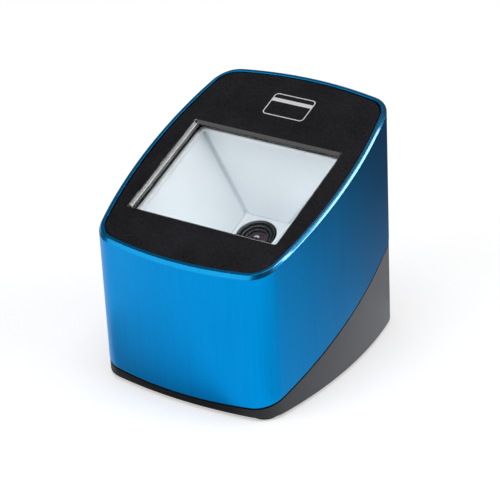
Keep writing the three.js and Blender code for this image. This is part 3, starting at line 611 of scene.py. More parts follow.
def work_on(made, tools, operation):
    """Cuts with tools or joins them, and removes them. A cutter reaches past its hole by the overshoot."""
    for tool in tools:
        step = made.modifiers.new(operation.lower(), "BOOLEAN")
        step.operation = operation
        step.solver = "MANIFOLD"
        step.object = tool
    plain_mesh(made)
    for tool in tools:
        bpy.data.objects.remove(tool)
    return made


def joined(made, tools):
    return work_on(made, tools, "UNION")


def cut(made, tools):
    return work_on(made, tools, "DIFFERENCE")


print("helpers for cuts:", [helper.__name__ for helper in (joined, cut)])

# %% The last step of every piece
zone_slack = 0.05


def finished(made, materials, slot, replaced, body="body", sharp=40, zone=None):
    """Shades a piece, gives it its finish, hides the parts of the frame it replaces, and hangs it on the
    body it rides on.
    A zone gives a face the number of its finish from the face's middle, in millimetres. False is the
    first finish and True the second."""
    made.data.materials.clear()
    for material in materials if isinstance(materials, list) else [materials]:
        made.data.materials.append(material)
    for face in made.data.polygons:
        face.material_index = int(zone(face.center / MM)) if zone else 0
    made.data.shade_smooth()
    made.data.set_sharp_from_angle(angle=math.radians(sharp))
    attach(made, body)
    if replaced:
        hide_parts(*replaced)
    print(made.name, "has", len(made.data.polygons), "faces")
    return made


def size_of(made):
    """The three sides of a piece's box, in millimetres."""
    points = [vertex.co for vertex in made.data.vertices]
    return [round((max(p[i] for p in points) - min(p[i] for p in points)) / MM, 2) for i in range(3)]


print("helpers for pieces:", [helper.__name__ for helper in (finished, size_of)])

# %% [markdown]
# Helpers for Geometry Nodes.
# Screws, contacts, knurls and slots are all one shape repeated, and a ribbon cable is one strip along a
# curve. A node tree with named sizes makes each kind once. `grow` runs a tree on a few points, gives it
# its sizes, and keeps the result as a plain mesh.

# %% Node tree helpers
def new_tree(name, sizes, vectors=()):
    """A tree with a geometry input, named sizes in metres, named places or turns, and a material."""
    tree = bpy.data.node_groups.new(name, "GeometryNodeTree")
    tree.interface.new_socket("Geometry", in_out="OUTPUT", socket_type="NodeSocketGeometry")
    tree.interface.new_socket("Geometry", in_out="INPUT", socket_type="NodeSocketGeometry")
    for size in sizes:
        tree.interface.new_socket(size, in_out="INPUT", socket_type="NodeSocketFloat")
    for vector in vectors:
        tree.interface.new_socket(vector, in_out="INPUT", socket_type="NodeSocketVector")
    tree.interface.new_socket("Material", in_out="INPUT", socket_type="NodeSocketMaterial")
    return tree, add(tree, "NodeGroupInput").outputs


def sum_of(tree, one, other, operation="ADD"):
    return add(tree, "ShaderNodeMath", {0: one, 1: other}, operation=operation).outputs["Value"]


def times(tree, one, other):
    return sum_of(tree, one, other, "MULTIPLY")


def spot(tree, x=0.0, y=0.0, z=0.0):
    return add(tree, "ShaderNodeCombineXYZ", {"X": x, "Y": y, "Z": z}).outputs["Vector"]


def shifted(tree, part, where):
    return add(tree, "GeometryNodeTransform", {"Geometry": part, "Translation": where}).outputs["Geometry"]


def gathered(tree, parts):
    join = add(tree, "GeometryNodeJoinGeometry")
    for part in parts:
        tree.links.new(part, join.inputs["Geometry"])
    return join.outputs["Geometry"]


def on_points(tree, given, part, turn=None):
    """The part on each point of the geometry that the tree gets."""
    values = {"Points": given["Geometry"], "Instance": part}
    if turn:
        values["Rotation"] = given[turn]
    return add(tree, "GeometryNodeInstanceOnPoints", values).outputs["Instances"]


def close_tree(tree, given, part):
    real = add(tree, "GeometryNodeRealizeInstances", {"Geometry": part}).outputs["Geometry"]
    values = {"Geometry": real, "Material": given["Material"]}
    done = add(tree, "GeometryNodeSetMaterial", values).outputs["Geometry"]
    tree.links.new(done, add(tree, "NodeGroupOutput").inputs["Geometry"])
    return tree


print("helpers for trees:", [helper.__name__ for helper in (new_tree, gathered, on_points, close_tree)])


# %% Growing a piece from a tree
def grow(name, tree, sizes, material, points=((0, 0, 0),), place=upright):
    """Runs a tree on points. Numbers, points and place are in millimetres. A vector is a place in metres or
    a turn in radians."""
    mesh = bpy.data.meshes.new(name)
    mesh.from_pydata([Vector(point) * MM for point in points], [], [])
    made = bpy.data.objects.new(name, mesh)
    studio.collection.objects.link(made)
    growth = made.modifiers.new("growth", "NODES")
    growth.node_group = tree
    for socket in tree.interface.items_tree:
        if socket.in_out == "INPUT" and socket.name in sizes:
            value = sizes[socket.name]
            growth[socket.identifier] = value * MM if isinstance(value, float) else value
        if socket.in_out == "INPUT" and socket.name == "Material" and material:
            growth[socket.identifier] = material
    plain_mesh(made)
    in_metres = Matrix.Translation(place.translation * (MM - 1)) @ place
    made.data.transform(in_metres)
    return made


print("helper for growing:", grow.__name__)

# %% A tree for slots
slot_corner_points = 6


def slot_nodes():
    """An upright block with rounded corners on each point, from a low to a high end."""
    tree, given = new_tree("slot", ["Width", "Length", "Corner", "Low", "High"])
    values = {"Width": given["Width"], "Height": given["Length"]}
    outline = add(tree, "GeometryNodeCurvePrimitiveQuadrilateral", values).outputs["Curve"]
    values = {"Curve": outline, "Radius": given["Corner"], "Count": slot_corner_points}
    soft = add(tree, "GeometryNodeFilletCurve", values, mode="POLY").outputs["Curve"]
    sheet = add(tree, "GeometryNodeFillCurve", {"Curve": soft}, mode="NGONS").outputs["Mesh"]
    low_end = shifted(tree, sheet, spot(tree, z=given["Low"]))
    height = sum_of(tree, given["High"], given["Low"], "SUBTRACT")
    values = {"Mesh": low_end, "Offset": spot(tree, z=height), "Offset Scale": 1.0}
    raised = add(tree, "GeometryNodeExtrudeMesh", values, mode="FACES").outputs["Mesh"]
    cap = add(tree, "GeometryNodeFlipFaces", {"Mesh": low_end}).outputs["Mesh"]
    values = {"Geometry": gathered(tree, [raised, cap]), "Distance": weld_reach * MM}
    solid = add(tree, "GeometryNodeMergeByDistance", values).outputs["Geometry"]
    return close_tree(tree, given, on_points(tree, given, solid))


slot_tree = slot_nodes()
print("tree:", slot_tree.name)

# %% [markdown]
# Helpers that make finishes.
# A finish is never one flat colour. Noise in object space, with a grain size in millimetres, varies the
# colour and the roughness a little, and a bump node turns the same noise into a fine relief. The grain
# can be stretched along one axis, which is all that brushing is. What stays the same all over a surface
# is typed on the shader itself.

# %% Finish helpers
def grain(tree, size, stretch=(1, 1, 1), detail=2.0, roughness=0.5):
    """Noise between 0 and 1 whose grains are a size across, in millimetres, times a stretch."""
    place = tree.nodes.get("Texture Coordinate") or add(tree, "ShaderNodeTexCoord")
    scale = [1 / (size * MM * along) for along in stretch]
    turn = add(tree, "ShaderNodeMapping", {"Vector": place.outputs["Object"], "Scale": scale})
    values = {"Vector": turn.outputs["Vector"], "Scale": 1.0, "Detail": detail, "Roughness": roughness}
    return add(tree, "ShaderNodeTexNoise", values).outputs["Fac"]


def mixed(tree, one, other, share=0.5):
    """A blend of two noises: share of the second."""
    made = add(tree, "ShaderNodeMix", {"A": one, "B": other}, data_type="FLOAT")
    made.inputs["Factor"].default_value = share
    return made.outputs["Result"]


def relief(tree, shader, height, depth, strength=1.0):
    """A bump whose full height is a depth in millimetres."""
    values = {"Height": height, "Distance": depth * MM, "Strength": strength}
    link(tree, add(tree, "ShaderNodeBump", values).outputs["Normal"], shader, "Normal")


print("helpers for finishes:", [helper.__name__ for helper in (grain, mixed, relief)])

# %% [markdown]
# Blue anodised aluminium.
# The sleeve is brushed upright, dyed blue and sealed. Brushing leaves fine upright scratches, so the
# noise is stretched far along Z, and the shader is anisotropic: the scratches spread a highlight
# sideways. Under the dye the metal mirrors, which a plain blue paint would miss. The milled rim has no
# scratches, and its smooth sealed skin adds a clear gloss, which is the coat here. The coat is made
# thicker along the right side, which paints the bright highlight there.

# %% Blue anodised aluminium
dyed_dark = (0.0, 0.238, 0.605)
dyed_light = (0.0, 0.27, 0.675)
rim_dark = (0.001, 0.215, 0.49)
rim_light = (0.003, 0.24, 0.53)
# The rim coat's weight across the body: a painted highlight, thin on the left, thick along the right.
highlight_coat_thin = 0.05
highlight_coat_thick = 1.0
highlight_coat_start = 32
highlight_coat_end = 38


def brushed_blue():
    material, tree, shader = finish("brushed_blue", {"Metallic": 1.0, "Anisotropic": 0.6})
    fine = grain(tree, 0.16, (1, 1, 260), 2.0)
    broad = grain(tree, 1.3, (1, 1, 60), 3.0)
    cloud = grain(tree, 18, (1, 1, 1.5), 1.0)
    brushed = mixed(tree, fine, broad, 0.45)
    streaks = mixed(tree, brushed, cloud, 0.25)
    link(tree, tones(tree, streaks, [(0.38, dyed_dark), (0.62, dyed_light)]), shader, "Base Color")
    link(tree, between(tree, brushed, 0.27, 0.39), shader, "Roughness")
    tangent = add(tree, "ShaderNodeTangent", direction_type="RADIAL", axis="Z")
    link(tree, tangent.outputs["Tangent"], shader, "Tangent")
    relief(tree, shader, brushed, 0.012, 0.35)
    return material


def along_x(tree):
    """The place across the piece, in metres."""
    place = add(tree, "ShaderNodeTexCoord").outputs["Object"]
    return add(tree, "ShaderNodeSeparateXYZ", {"Vector": place}).outputs["X"]


def milled_blue():
    """The rim: cut smooth after brushing, under a clear coat, thickest along the right side as a painted
    highlight.
    """
    sockets = {"Metallic": 1.0, "Coat Roughness": 0.06, "Coat IOR": 1.9}
    material, tree, shader = finish("milled_blue", sockets)
    lines = mixed(tree, grain(tree, 0.8, detail=2.0), grain(tree, 5, detail=1.0), 0.4)
    gloss = between(tree, along_x(tree), highlight_coat_thin, highlight_coat_thick, highlight_coat_start * MM, highlight_coat_end * MM)
    link(tree, gloss, shader, "Coat Weight")
    link(tree, tones(tree, lines, [(0.36, rim_dark), (0.64, rim_light)]), shader, "Base Color")
    link(tree, between(tree, lines, 0.22, 0.28), shader, "Roughness")
    relief(tree, shader, lines, 0.0015, 0.3)
    return material


blue = brushed_blue()
rim_blue = milled_blue()
print("finishes:", blue.name, rim_blue.name)

# %% [markdown]
# Moulded plastics and rubber.
# The plate, the base and the small housings come out of spark-eroded moulds, which leave a fine matt
# grain. The plate's grain is the coarsest, and it shows as a speckle where light grazes it. One function
# makes all of these from a colour, a grain size and a depth. The base's colour carries painted shade: it
# is almost black at the front left and a middle grey at the far right.

# %% Moulded plastics and rubber
def moulded(name, colour, size, depth, rough, lift=1.5, sheen=0.5, index=1.5):
    """Spark-textured plastic. Its grains have a size and a depth in millimetres, and rough is its
    roughness. Lift is how much lighter the high grains are, and sheen and index say how much it mirrors."""
    sockets = {"Specular IOR Level": sheen, "IOR": index}
    material, tree, shader = finish(name, sockets)
    spark = grain(tree, size, detail=3.0, roughness=0.6)
    cloud = grain(tree, 14, detail=1.0)
    shade = mixed(tree, spark, cloud, 0.25)
    light = tuple(min(1.0, value * lift) for value in colour)
    dark = tuple(value / lift for value in colour)
    link(tree, tones(tree, shade, [(0.36, dark), (0.64, light)]), shader, "Base Color")
    link(tree, between(tree, spark, rough - 0.08, rough + 0.08), shader, "Roughness")
    relief(tree, shader, spark, depth, 0.6)
    return material


plate_black = moulded("plate_black", (0.0035, 0.0033, 0.0044), 0.6, 0.16, 0.46, lift=5.0, sheen=0.14)
window_black = moulded("window_black", (0.006, 0.006, 0.006), 0.3, 0.008, 0.2, lift=1.4, index=2.8)
frame_black = moulded("frame_black", (0.006, 0.006, 0.006), 0.3, 0.008, 0.25, lift=1.4, index=1.6)
lens_black = moulded("lens_black", (0.002, 0.002, 0.0025), 0.15, 0.003, 0.3, lift=1.3, sheen=0.05)
# Painted highlights: a lighter, glossier black for the edges of the bezel's steps.
edge_highlight_black = moulded("edge_highlight_black", (0.01, 0.01, 0.011), 0.2, 0.002, 0.25, lift=1.3, index=2.5)
base_grey = moulded("base_grey", (0.205, 0.213, 0.231), 0.22, 0.02, 0.5, lift=1.12, sheen=0.2)
# Painted shade: near black for the step and the spigot under the sleeve's seam.
seam_shade_black = moulded("seam_shade_black", (0.004, 0.004, 0.004), 0.2, 0.01, 0.6, lift=1.3, sheen=0.1)
part_black = moulded("part_black", (0.016, 0.016, 0.017), 0.2, 0.015, 0.45, lift=1.25)
foot_rubber = moulded("foot_rubber", (0.011, 0.011, 0.011), 0.25, 0.02, 0.62, lift=1.3, sheen=0.35)
button_grey = moulded("button_grey", (0.085, 0.085, 0.09), 0.2, 0.01, 0.5, lift=1.15)
connector_white = moulded("connector_white", (0.62, 0.61, 0.57), 0.25, 0.01, 0.42, lift=1.06)
print("finishes:", plate_black.name, base_grey.name, part_black.name, foot_rubber.name)


# %% The base's painted shade
base_shade_way = (0.6, 1, 0)
base_shade_start = -54
base_shade_end = 55


def paint_shade_along(material, way, start, end, greys):
    """Paints shade: multiplies a material's colour by a grey that changes along a direction."""
    tree = material.node_tree
    shader = tree.nodes["Principled BSDF"]
    colour = shader.inputs["Base Color"].links[0].from_socket
    product = add(tree, "ShaderNodeMix", data_type="RGBA", blend_type="MULTIPLY")
    product.inputs["Factor"].default_value = 1.0
    tree.links.new(colour, product.inputs[6])
    tree.links.new(grey_along(tree, way, start, end, greys), product.inputs[7])
    link(tree, product.outputs[2], shader, "Base Color")


# Painted shade on the base: nearly black at the front left, full grey at the far right.
front_shade_greys = [(0, 0.015), (0.2, 0.025), (0.26, 0.12), (0.36, 0.38)]
far_shade_greys = [(0.5, 0.55), (0.6, 0.65), (0.7, 0.76), (0.88, 0.93), (1, 1.0)]
paint_shade_along(base_grey, base_shade_way, base_shade_start, base_shade_end, front_shade_greys + far_shade_greys)
print("greys along the base:", len(front_shade_greys + far_shade_greys))


# %% White funnel plastic and the printing ink
def funnel_white():
    sockets = {"Roughness": 0.42, "Specular IOR Level": 0.45}
    material, tree, shader = finish("funnel_white", sockets)
    cloud = mixed(tree, grain(tree, 9, detail=2.0), grain(tree, 0.3, detail=2.0), 0.35)
    stops = [(0.35, (0.85, 0.888, 0.922)), (0.65, (0.876, 0.914, 0.947))]
    link(tree, tones(tree, cloud, stops), shader, "Base Color")
    link(tree, between(tree, cloud, 0.36, 0.48), shader, "Roughness")
    relief(tree, shader, grain(tree, 0.25), 0.006, 0.4)
    return material


white = funnel_white()
ink = moulded("white_ink", (0.72, 0.73, 0.73), 0.12, 0.006, 0.5, lift=1.08)
print("finishes:", white.name, ink.name)


# %% [markdown]
# Glass.
# The pane is clear and coated, so it mirrors little, and the lamps shine through it into the funnel.
# Cycles would stop lamp light at glass, so shadow rays meet a transparent shader instead. The lens glasses
# carry a purple coating against reflections, and their colour is a painted reflection of it, purple on
# the left and brown on the right. They stay solid and dark, because only the black barrel lies behind them.

# %% Glass
painted_reflection_reach = 5


def clear_pane():
    sockets = {"Transmission Weight": 1.0, "IOR": 1.45, "Roughness": 0.0}
    sockets["Specular Tint"] = (0.3, 0.32, 0.36, 1)
    material, tree, shader = finish("clear_pane", sockets)
    smudge = mixed(tree, grain(tree, 11, detail=2.0), grain(tree, 2.5, detail=3.0), 0.4)
    stops = [(0.35, (0.955, 0.975, 0.985)), (0.65, (0.975, 0.99, 0.995))]
    link(tree, tones(tree, smudge, stops), shader, "Base Color")
    clear = add(tree, "ShaderNodeBsdfTransparent", {"Color": (0.96, 0.98, 0.985, 1)})
    rays = add(tree, "ShaderNodeLightPath")
    choice = add(tree, "ShaderNodeMixShader", {"Fac": rays.outputs["Is Shadow Ray"]})
    tree.links.new(shader.outputs["BSDF"], choice.inputs[1])
    tree.links.new(clear.outputs["BSDF"], choice.inputs[2])
    tree.links.new(choice.outputs["Shader"], tree.nodes["Material Output"].inputs["Surface"])
    return material


def coated_glass():
    """Dark glass whose coating takes most of the mirroring away, with a painted reflection from purple to
    brown.
    """
    sockets = {"Roughness": 0.03, "IOR": 1.5, "Specular IOR Level": 0.35}
    material, tree, shader = finish("coated_glass", sockets)
    shader.inputs["Specular Tint"].default_value = (0.85, 0.6, 1.0, 1)
    # Painted reflection: the glass's colour runs from purple on the left through dark to brown on the right.
    across = between(tree, along_x(tree), 0, 1, -painted_reflection_reach * MM, painted_reflection_reach * MM)
    painted_reflection = mixed(tree, across, grain(tree, 1.2, detail=1.0), 0.06)
    stops = [(0.0, (0.036, 0.018, 0.05)), (0.45, (0.014, 0.008, 0.016)), (1.0, (0.05, 0.028, 0.024))]
    link(tree, tones(tree, painted_reflection, stops), shader, "Base Color")
    return material


pane_glass = clear_pane()
lens_glass = coated_glass()
print("finishes:", pane_glass.name, lens_glass.name)


# %% [markdown]
# Metals and boards inside.
# Screws are zinc plated, the shield is tinned sheet and the contacts are gold plated: the same mirror
# with other colours and grain. A circuit board is green lacquer over copper tracks, which show as
# slightly lighter lines. Two brick patterns, turned against each other, give straight tracks with
# square bends.

# %% Metals
def metal(name, dark, light, size, stretch=(1, 1, 1), rough=0.3, depth=0.004):
    """Bare metal between two colours, with grains of a size that a stretch draws out along an axis."""
    material, tree, shader = finish(name, {"Metallic": 1.0})
    wear = mixed(tree, grain(tree, size, stretch, 3.0), grain(tree, 4, detail=1.0), 0.35)
    link(tree, tones(tree, wear, [(0.35, dark), (0.65, light)]), shader, "Base Color")
    link(tree, between(tree, wear, rough - 0.08, rough + 0.1), shader, "Roughness")
    relief(tree, shader, wear, depth, 0.5)
    return material


screw_zinc = metal("screw_zinc", (0.42, 0.43, 0.45), (0.62, 0.63, 0.66), 0.3)
tinned = metal("tinned_sheet", (0.5, 0.5, 0.5), (0.68, 0.67, 0.66), 0.4, (8, 1, 1), 0.34)
gold = metal("contact_gold", (0.62, 0.42, 0.14), (0.85, 0.6, 0.25), 0.2, (1, 6, 1), 0.25)
print("finishes:", screw_zinc.name, tinned.name, gold.name)


# %% Circuit boards
brick_width = 3.2
brick_row = 0.55


def tracks(tree, coordinates, size, turn):
    """A mask of thin lines: the joints of a brick pattern."""
    values = {"Vector": coordinates, "Scale": [1 / (size * MM)] * 3, "Rotation": (0, 0, turn)}
    place = add(tree, "ShaderNodeMapping", values)
    values = {"Vector": place.outputs["Vector"], "Scale": 1.0, "Mortar Size": 0.07, "Mortar Smooth": 0.1}
    bricks = add(tree, "ShaderNodeTexBrick", values)
    bricks.inputs["Brick Width"].default_value = brick_width
    bricks.inputs["Row Height"].default_value = brick_row
    return bricks.outputs["Fac"]


def circuit_board():
    sockets = {"Coat Weight": 0.5, "Coat Roughness": 0.18, "Roughness": 0.45}
    material, tree, shader = finish("circuit_board", sockets)
    where = add(tree, "ShaderNodeTexCoord").outputs["Object"]
    first = tracks(tree, where, 1.6, 0.0)
    second = tracks(tree, where, 2.3, math.pi / 2)
    both = add(tree, "ShaderNodeMath", {0: first, 1: second}, operation="MAXIMUM").outputs["Value"]
    cloud = grain(tree, 6, detail=2.0)
    laminate = tones(tree, cloud, [(0.35, (0.006, 0.075, 0.032)), (0.65, (0.009, 0.1, 0.042))])
    copper = add(tree, "ShaderNodeMix", {"Factor": both}, data_type="RGBA")
    tree.links.new(laminate, copper.inputs[6])
    copper.inputs[7].default_value = (0.03, 0.2, 0.075, 1)
    link(tree, copper.outputs[2], shader, "Base Color")
    relief(tree, shader, both, 0.035, 0.6)
    return material


board_green = circuit_board()
print("finish:", board_green.name)


# %% Chips, lamps and ribbon film
def chip_epoxy():
    material, tree, shader = finish("chip_epoxy", {"Specular IOR Level": 0.45})
    fine = grain(tree, 0.12, detail=3.0)
    stops = [(0.35, (0.012, 0.012, 0.013)), (0.65, (0.024, 0.024, 0.026))]
    link(tree, tones(tree, fine, stops), shader, "Base Color")
    link(tree, between(tree, fine, 0.42, 0.6), shader, "Roughness")
    relief(tree, shader, fine, 0.008, 0.5)
    return material


def lamp_phosphor():
    sockets = {"Roughness": 0.35, "Subsurface Weight": 0.1, "Coat Weight": 0.6, "Coat Roughness": 0.08}
    material, tree, shader = finish("lamp_phosphor", sockets)
    shader.inputs["Subsurface Radius"].default_value = (0.0008, 0.0006, 0.0002)
    grains = grain(tree, 0.3, detail=3.0)
    stops = [(0.3, (0.78, 0.62, 0.12)), (0.7, (0.93, 0.83, 0.36))]
    link(tree, tones(tree, grains, stops), shader, "Base Color")
    relief(tree, shader, grains, 0.01, 0.4)
    return material


wave_scale = 0.32


def ribbon_film():
    """White film with a blue-grey conductor about every millimetre across its width."""
    material, tree, shader = finish("ribbon_film", {"Coat Weight": 0.4, "Coat Roughness": 0.15})
    where = add(tree, "ShaderNodeTexCoord").outputs["Object"]
    across = add(tree, "ShaderNodeMapping", {"Vector": where, "Scale": (1 / MM, 0.0, 0.0)})
    values = {"Vector": across.outputs["Vector"], "Scale": wave_scale}
    bands = add(tree, "ShaderNodeTexWave", values, wave_type="BANDS", bands_direction="X").outputs["Fac"]
    stops = [(0.3, (0.3, 0.33, 0.37)), (0.62, (0.7, 0.73, 0.76))]
    link(tree, tones(tree, bands, stops), shader, "Base Color")
    link(tree, between(tree, grain(tree, 2.0), 0.3, 0.42), shader, "Roughness")
    relief(tree, shader, bands, 0.03, 0.4)
    return material


chip_black = chip_epoxy()
phosphor = lamp_phosphor()
film = ribbon_film()
print("finishes:", chip_black.name, phosphor.name, film.name)

# %% Each slot's finish, given to every part of the frame
finish_of_slot = {
    "blue_aluminium": blue,
    "black_plate": plate_black,
    "base_plastic": base_grey,
    "black_plastic": part_black,
    "white_plastic": white,
    "black_rubber": foot_rubber,
    "clear_pane": pane_glass,
    "coated_glass": lens_glass,
    "screw_steel": screw_zinc,
    "can_steel": tinned,
    "circuit_board": board_green,
    "chip_black": chip_black,
    "lamp_yellow": phosphor,
    "connector_white": connector_white,
    "ribbon_film": film,
    "button_grey": button_grey,
}
for node_name, part in nodes.items():
    part.data.materials.clear()
    part.data.materials.append(finish_of_slot[slot_of[node_name]])
print("every part of the frame has a finish")

# %% [markdown]
# The sleeve.
# The real sleeve is sawn from an extruded tube, at a slant, and its rim is then milled: a chamfer
# outside, a flat lip, and a ledge inside for the face plate. A lofted stack of rings follows the same
# steps, and a slanted cut is only a height that depends on Y. The chamfer falls deeper at the front and
# is a little wider at the back. It keeps crisp edges, so they are eased by a tenth of a millimetre only.

# %% The sleeve
sleeve_wall = 3.2
rim_wall = 2.0
chamfer_side = 0.8
chamfer_back = 1.15
chamfer_front_fall = 1.2
chamfer_bend = 28
chamfer_back_run = 10
chamfer_front_run = 9
plate_sink = 0.25
plate_thickness = 2.4
plate_under = plate_sink + plate_thickness
ledge = rim(plate_under + fit_gap)


def chamfer_width(y):
    """Width of the chamfer, which grows on a short run towards the back."""
    share = share_of(y, chamfer_bend, chamfer_back_run)
    return chamfer_side + (chamfer_back - chamfer_side) * share


def chamfer_edge(y):
    """Height of the chamfer's outer edge, which falls deeper on a short run towards the front."""
    share = share_of(-y, chamfer_bend, chamfer_front_run)
    return rim(fall=chamfer_side + (chamfer_front_fall - chamfer_side) * share)(y)


sleeve_rings = [
    body_ring(0, seam()),
    body_ring(0, chamfer_edge),
    body_ring(chamfer_width, rim()),
    body_ring(rim_wall, rim()),
    body_ring(rim_wall, ledge),
    body_ring(sleeve_wall, ledge),
    body_ring(sleeve_wall, seam()),
]
sleeve = shell("sleeve_shell", eased(sleeve_rings, [0.12, 0.1, 0.1, 0.12, 0.05, 0.1, 0.12]))


def on_rim(point):
    """True on the chamfer and all that lies above it."""
    return point.z > chamfer_edge(point.y) - zone_slack


finished(sleeve, [blue, rim_blue], "blue_aluminium", ["housing_sleeve"], sharp=50, zone=on_rim)

# %% [markdown]
# The face plate.
# The plate is moulded: a sheet that follows the body outline, with a window whose edge slopes into the
# opening at 45 degrees. The slope is polished, so it shows as a bright frame. Under the window is a pocket
# for the pane, with a rib around it, four bosses for the funnel's screws and four long legs for the case
# screws. The sheet, the slope and the rib are one loop of rings. Bosses and legs are joined to it, and the
# bores are cut.

# %% The window's sizes
window_side_margin = 9.7
window_front_margin = 18.86
window_rear_margin = 31.66
window_corner = 1.5
pane_margin = 1.0
pane_thickness = 1.8
gasket_thickness = 0.3
layer_gap = 0.15
pocket_wall = 1.4
frame_slope = 1.2
frame_wider = 0.28
frame_shorter = 0.14
face_length = body_depth / math.cos(tilt)
window_front = window_front_margin - face_length / 2
window_rear = face_length / 2 - window_rear_margin
window_width = body_width - 2 * window_side_margin
window_length = window_rear - window_front
window_y = (window_front + window_rear) / 2
pane_top = plate_under + 2 * layer_gap + gasket_thickness
pane_under = pane_top + pane_thickness
pocket_margin = pane_margin + fit_gap
rib_margin = pocket_margin + pocket_wall


def like_window(side, end, radius, depth):
    """The window's ring with its sides and its ends moved outwards, at a depth below the rim."""
    return rounded_ring(window_width + 2 * side, window_length + 2 * end, radius, -depth, 0, window_y)


def window_ring(margin, depth):
    """A ring around the window, at a margin outside its edge."""
    return like_window(margin, margin, window_corner + margin, depth)


def frame_ring(inward, depth):
    """A ring of the sloping frame around the window, at a distance inward from its top edge."""
    return like_window(frame_wider - inward, -frame_shorter - inward, window_corner - inward, depth)


def in_body(ring):
    return [on_face @ point for point in ring]


print("window", round(window_width, 2), "by", round(window_length, 2), "mm, middle at", round(window_y, 2))

# %% Screw places on the face and in the base
post_side_margin = 11.3
post_end_margin = 11.5
post_x = body_width / 2 - post_side_margin
post_y = body_depth / 2 - post_end_margin
ear_radius = 3.0
ear_reach = 5.2
ear_gap = 2.5
leg_radius = 3.2
ear_x = post_x - leg_radius - ear_radius - ear_gap
small_hole = 1.15
case_hole = 1.45
case_bite = 8
post_meet = 24.0
bore_sides = 32


def four_places(reach_x, reach_y, middle_y=0.0):
    """Front left, front right, rear left and rear right places around a middle."""
    return [(i * reach_x, middle_y + j * reach_y) for i, j in ((-1, -1), (1, -1), (-1, 1), (1, 1))]


ear_places = four_places(ear_x, window_length / 2 + ear_reach, window_y)
post_places = four_places(post_x, post_y)
print("screws at", [round(x, 1) for x in (*ear_places[-1], *post_places[-1])], "mm and mirrored")

# %% The face plate
plate_slack = 0.1
plate_inset = rim_wall + fit_gap + plate_slack
plate_rings = [
    body_ring(plate_inset, rim(plate_under)),
    body_ring(plate_inset, rim(plate_sink)),
    in_body(frame_ring(0, plate_sink)),
    in_body(frame_ring(frame_slope, plate_sink + frame_slope)),
    in_body(frame_ring(frame_slope, plate_under)),
    in_body(window_ring(pocket_margin, plate_under)),
    in_body(window_ring(pocket_margin, pane_under)),
    in_body(window_ring(rib_margin, pane_under)),
    in_body(window_ring(rib_margin, plate_under)),
]
plate_eases = [0.15, 0.25, 0.3, 0.2, 0.1, 0.05, 0.1, 0.15, 0.1]
plate = shell("plate_shell", eased(plate_rings, plate_eases, steps=4))
plate_middle = plate_sink + plate_thickness / 2
ears = rods(ear_places, ear_radius, -pane_under, -plate_middle, place=on_face)
legs = [rod(leg_radius, post_meet, rim(plate_middle)(y), x, y) for x, y in post_places]
joined(plate, ears + legs)
ear_bores = rods(ear_places, small_hole, -pane_under - overshoot, -plate_middle, bore_sides, on_face)
leg_bores = rods(post_places, case_hole, post_meet - overshoot, post_meet + case_bite, bore_sides)
cut(plate, ear_bores + leg_bores)
print("plate now has", len(plate.data.polygons), "faces")


def in_window(point):
    """1 on the sloping frame of the window and the wall under it, 2 where that lies at the back."""
    at = off_face @ point
    inside = abs(at.x) < window_width / 2 + frame_wider - zone_slack
    inside &= abs(at.y - window_y) < window_length / 2 - frame_shorter - zone_slack
    if not inside or at.z <= -plate_under:
        return 0
    at_back = at.y - window_y - window_length / 2 > abs(at.x) - window_width / 2
    return 2 if at_back else 1


plate_finishes = [plate_black, window_black, frame_black]
finished(plate, plate_finishes, "black_plate", ["face_plate"], sharp=45, zone=in_window)

# %% [markdown]
# Gasket and pane.
# A thin rubber frame with round edges seals the pane against the plate. The pane is cut glass with a
# small ground chamfer. Both are stacks of eased rings. A narrow dark border is printed under the pane's
# left and right edges. It hides the flange behind it.

# %% Gasket and pane
gasket_top = plate_under + layer_gap
gasket_rings = [
    window_ring(0, gasket_top),
    window_ring(pane_margin, gasket_top),
    window_ring(pane_margin, gasket_top + gasket_thickness),
    window_ring(0, gasket_top + gasket_thickness),
]
gasket_ease = 0.12
gasket = shell("gasket_ring", eased(gasket_rings, [gasket_ease] * 4, steps=4), place=on_face)
finished(gasket, foot_rubber, "black_rubber", ["window_gasket"], sharp=60)
pane_ease = 0.2
pane_core_width = 20
pane_core_length = 12
pane_core_corner = 1


def pane_core(depth):
    """A small ring in the middle of the pane, where its flat cap starts."""
    return rounded_ring(pane_core_width, pane_core_length, pane_core_corner, -depth, 0, window_y)


pane_rings = [
    pane_core(pane_under),
    window_ring(pane_margin, pane_under),
    window_ring(pane_margin, pane_top),
    pane_core(pane_top),
]
pane = shell("pane_glass", eased(pane_rings, [0, pane_ease, pane_ease, 0], False, 1), False, on_face)
finished(pane, pane_glass, "clear_pane", ["window_pane"], sharp=20)

# %% The printed border
border_ink = moulded("border_ink", (0.075, 0.075, 0.07), 0.12, 0.003, 0.35, lift=1.3)
border_reach = 0.6
border_end = 0.9
border_margin = 1.0
border_gap = 0.02
border_thickness = 0.04
border_top = pane_under + border_gap
border_under = border_top + border_thickness


def border_ring(depth):
    return like_window(-border_reach, border_end, window_corner, depth)


border_rings = [
    border_ring(border_under),
    window_ring(border_margin, border_under),
    window_ring(border_margin, border_top),
    border_ring(border_top),
]
border = shell("pane_border", border_rings, place=on_face)
finished(border, border_ink, "black_plastic", None)

# %% [markdown]
# The light funnel.
# The funnel is one white moulding. Its mouth lies under the pane, four walls taper down to a small floor,
# and the lens looks through a round hole there. Where two walls meet, the mould leaves a fine groove. The
# creases and the floor's edge are painted a darker grey as shade, down to the lens, and the lip around the
# mouth is painted lighter as light. The shell is one loop of rings: down inside from the mouth to the
# floor and its hole, and up outside to the flange. Ears and bosses are joined to it, and bores are cut.

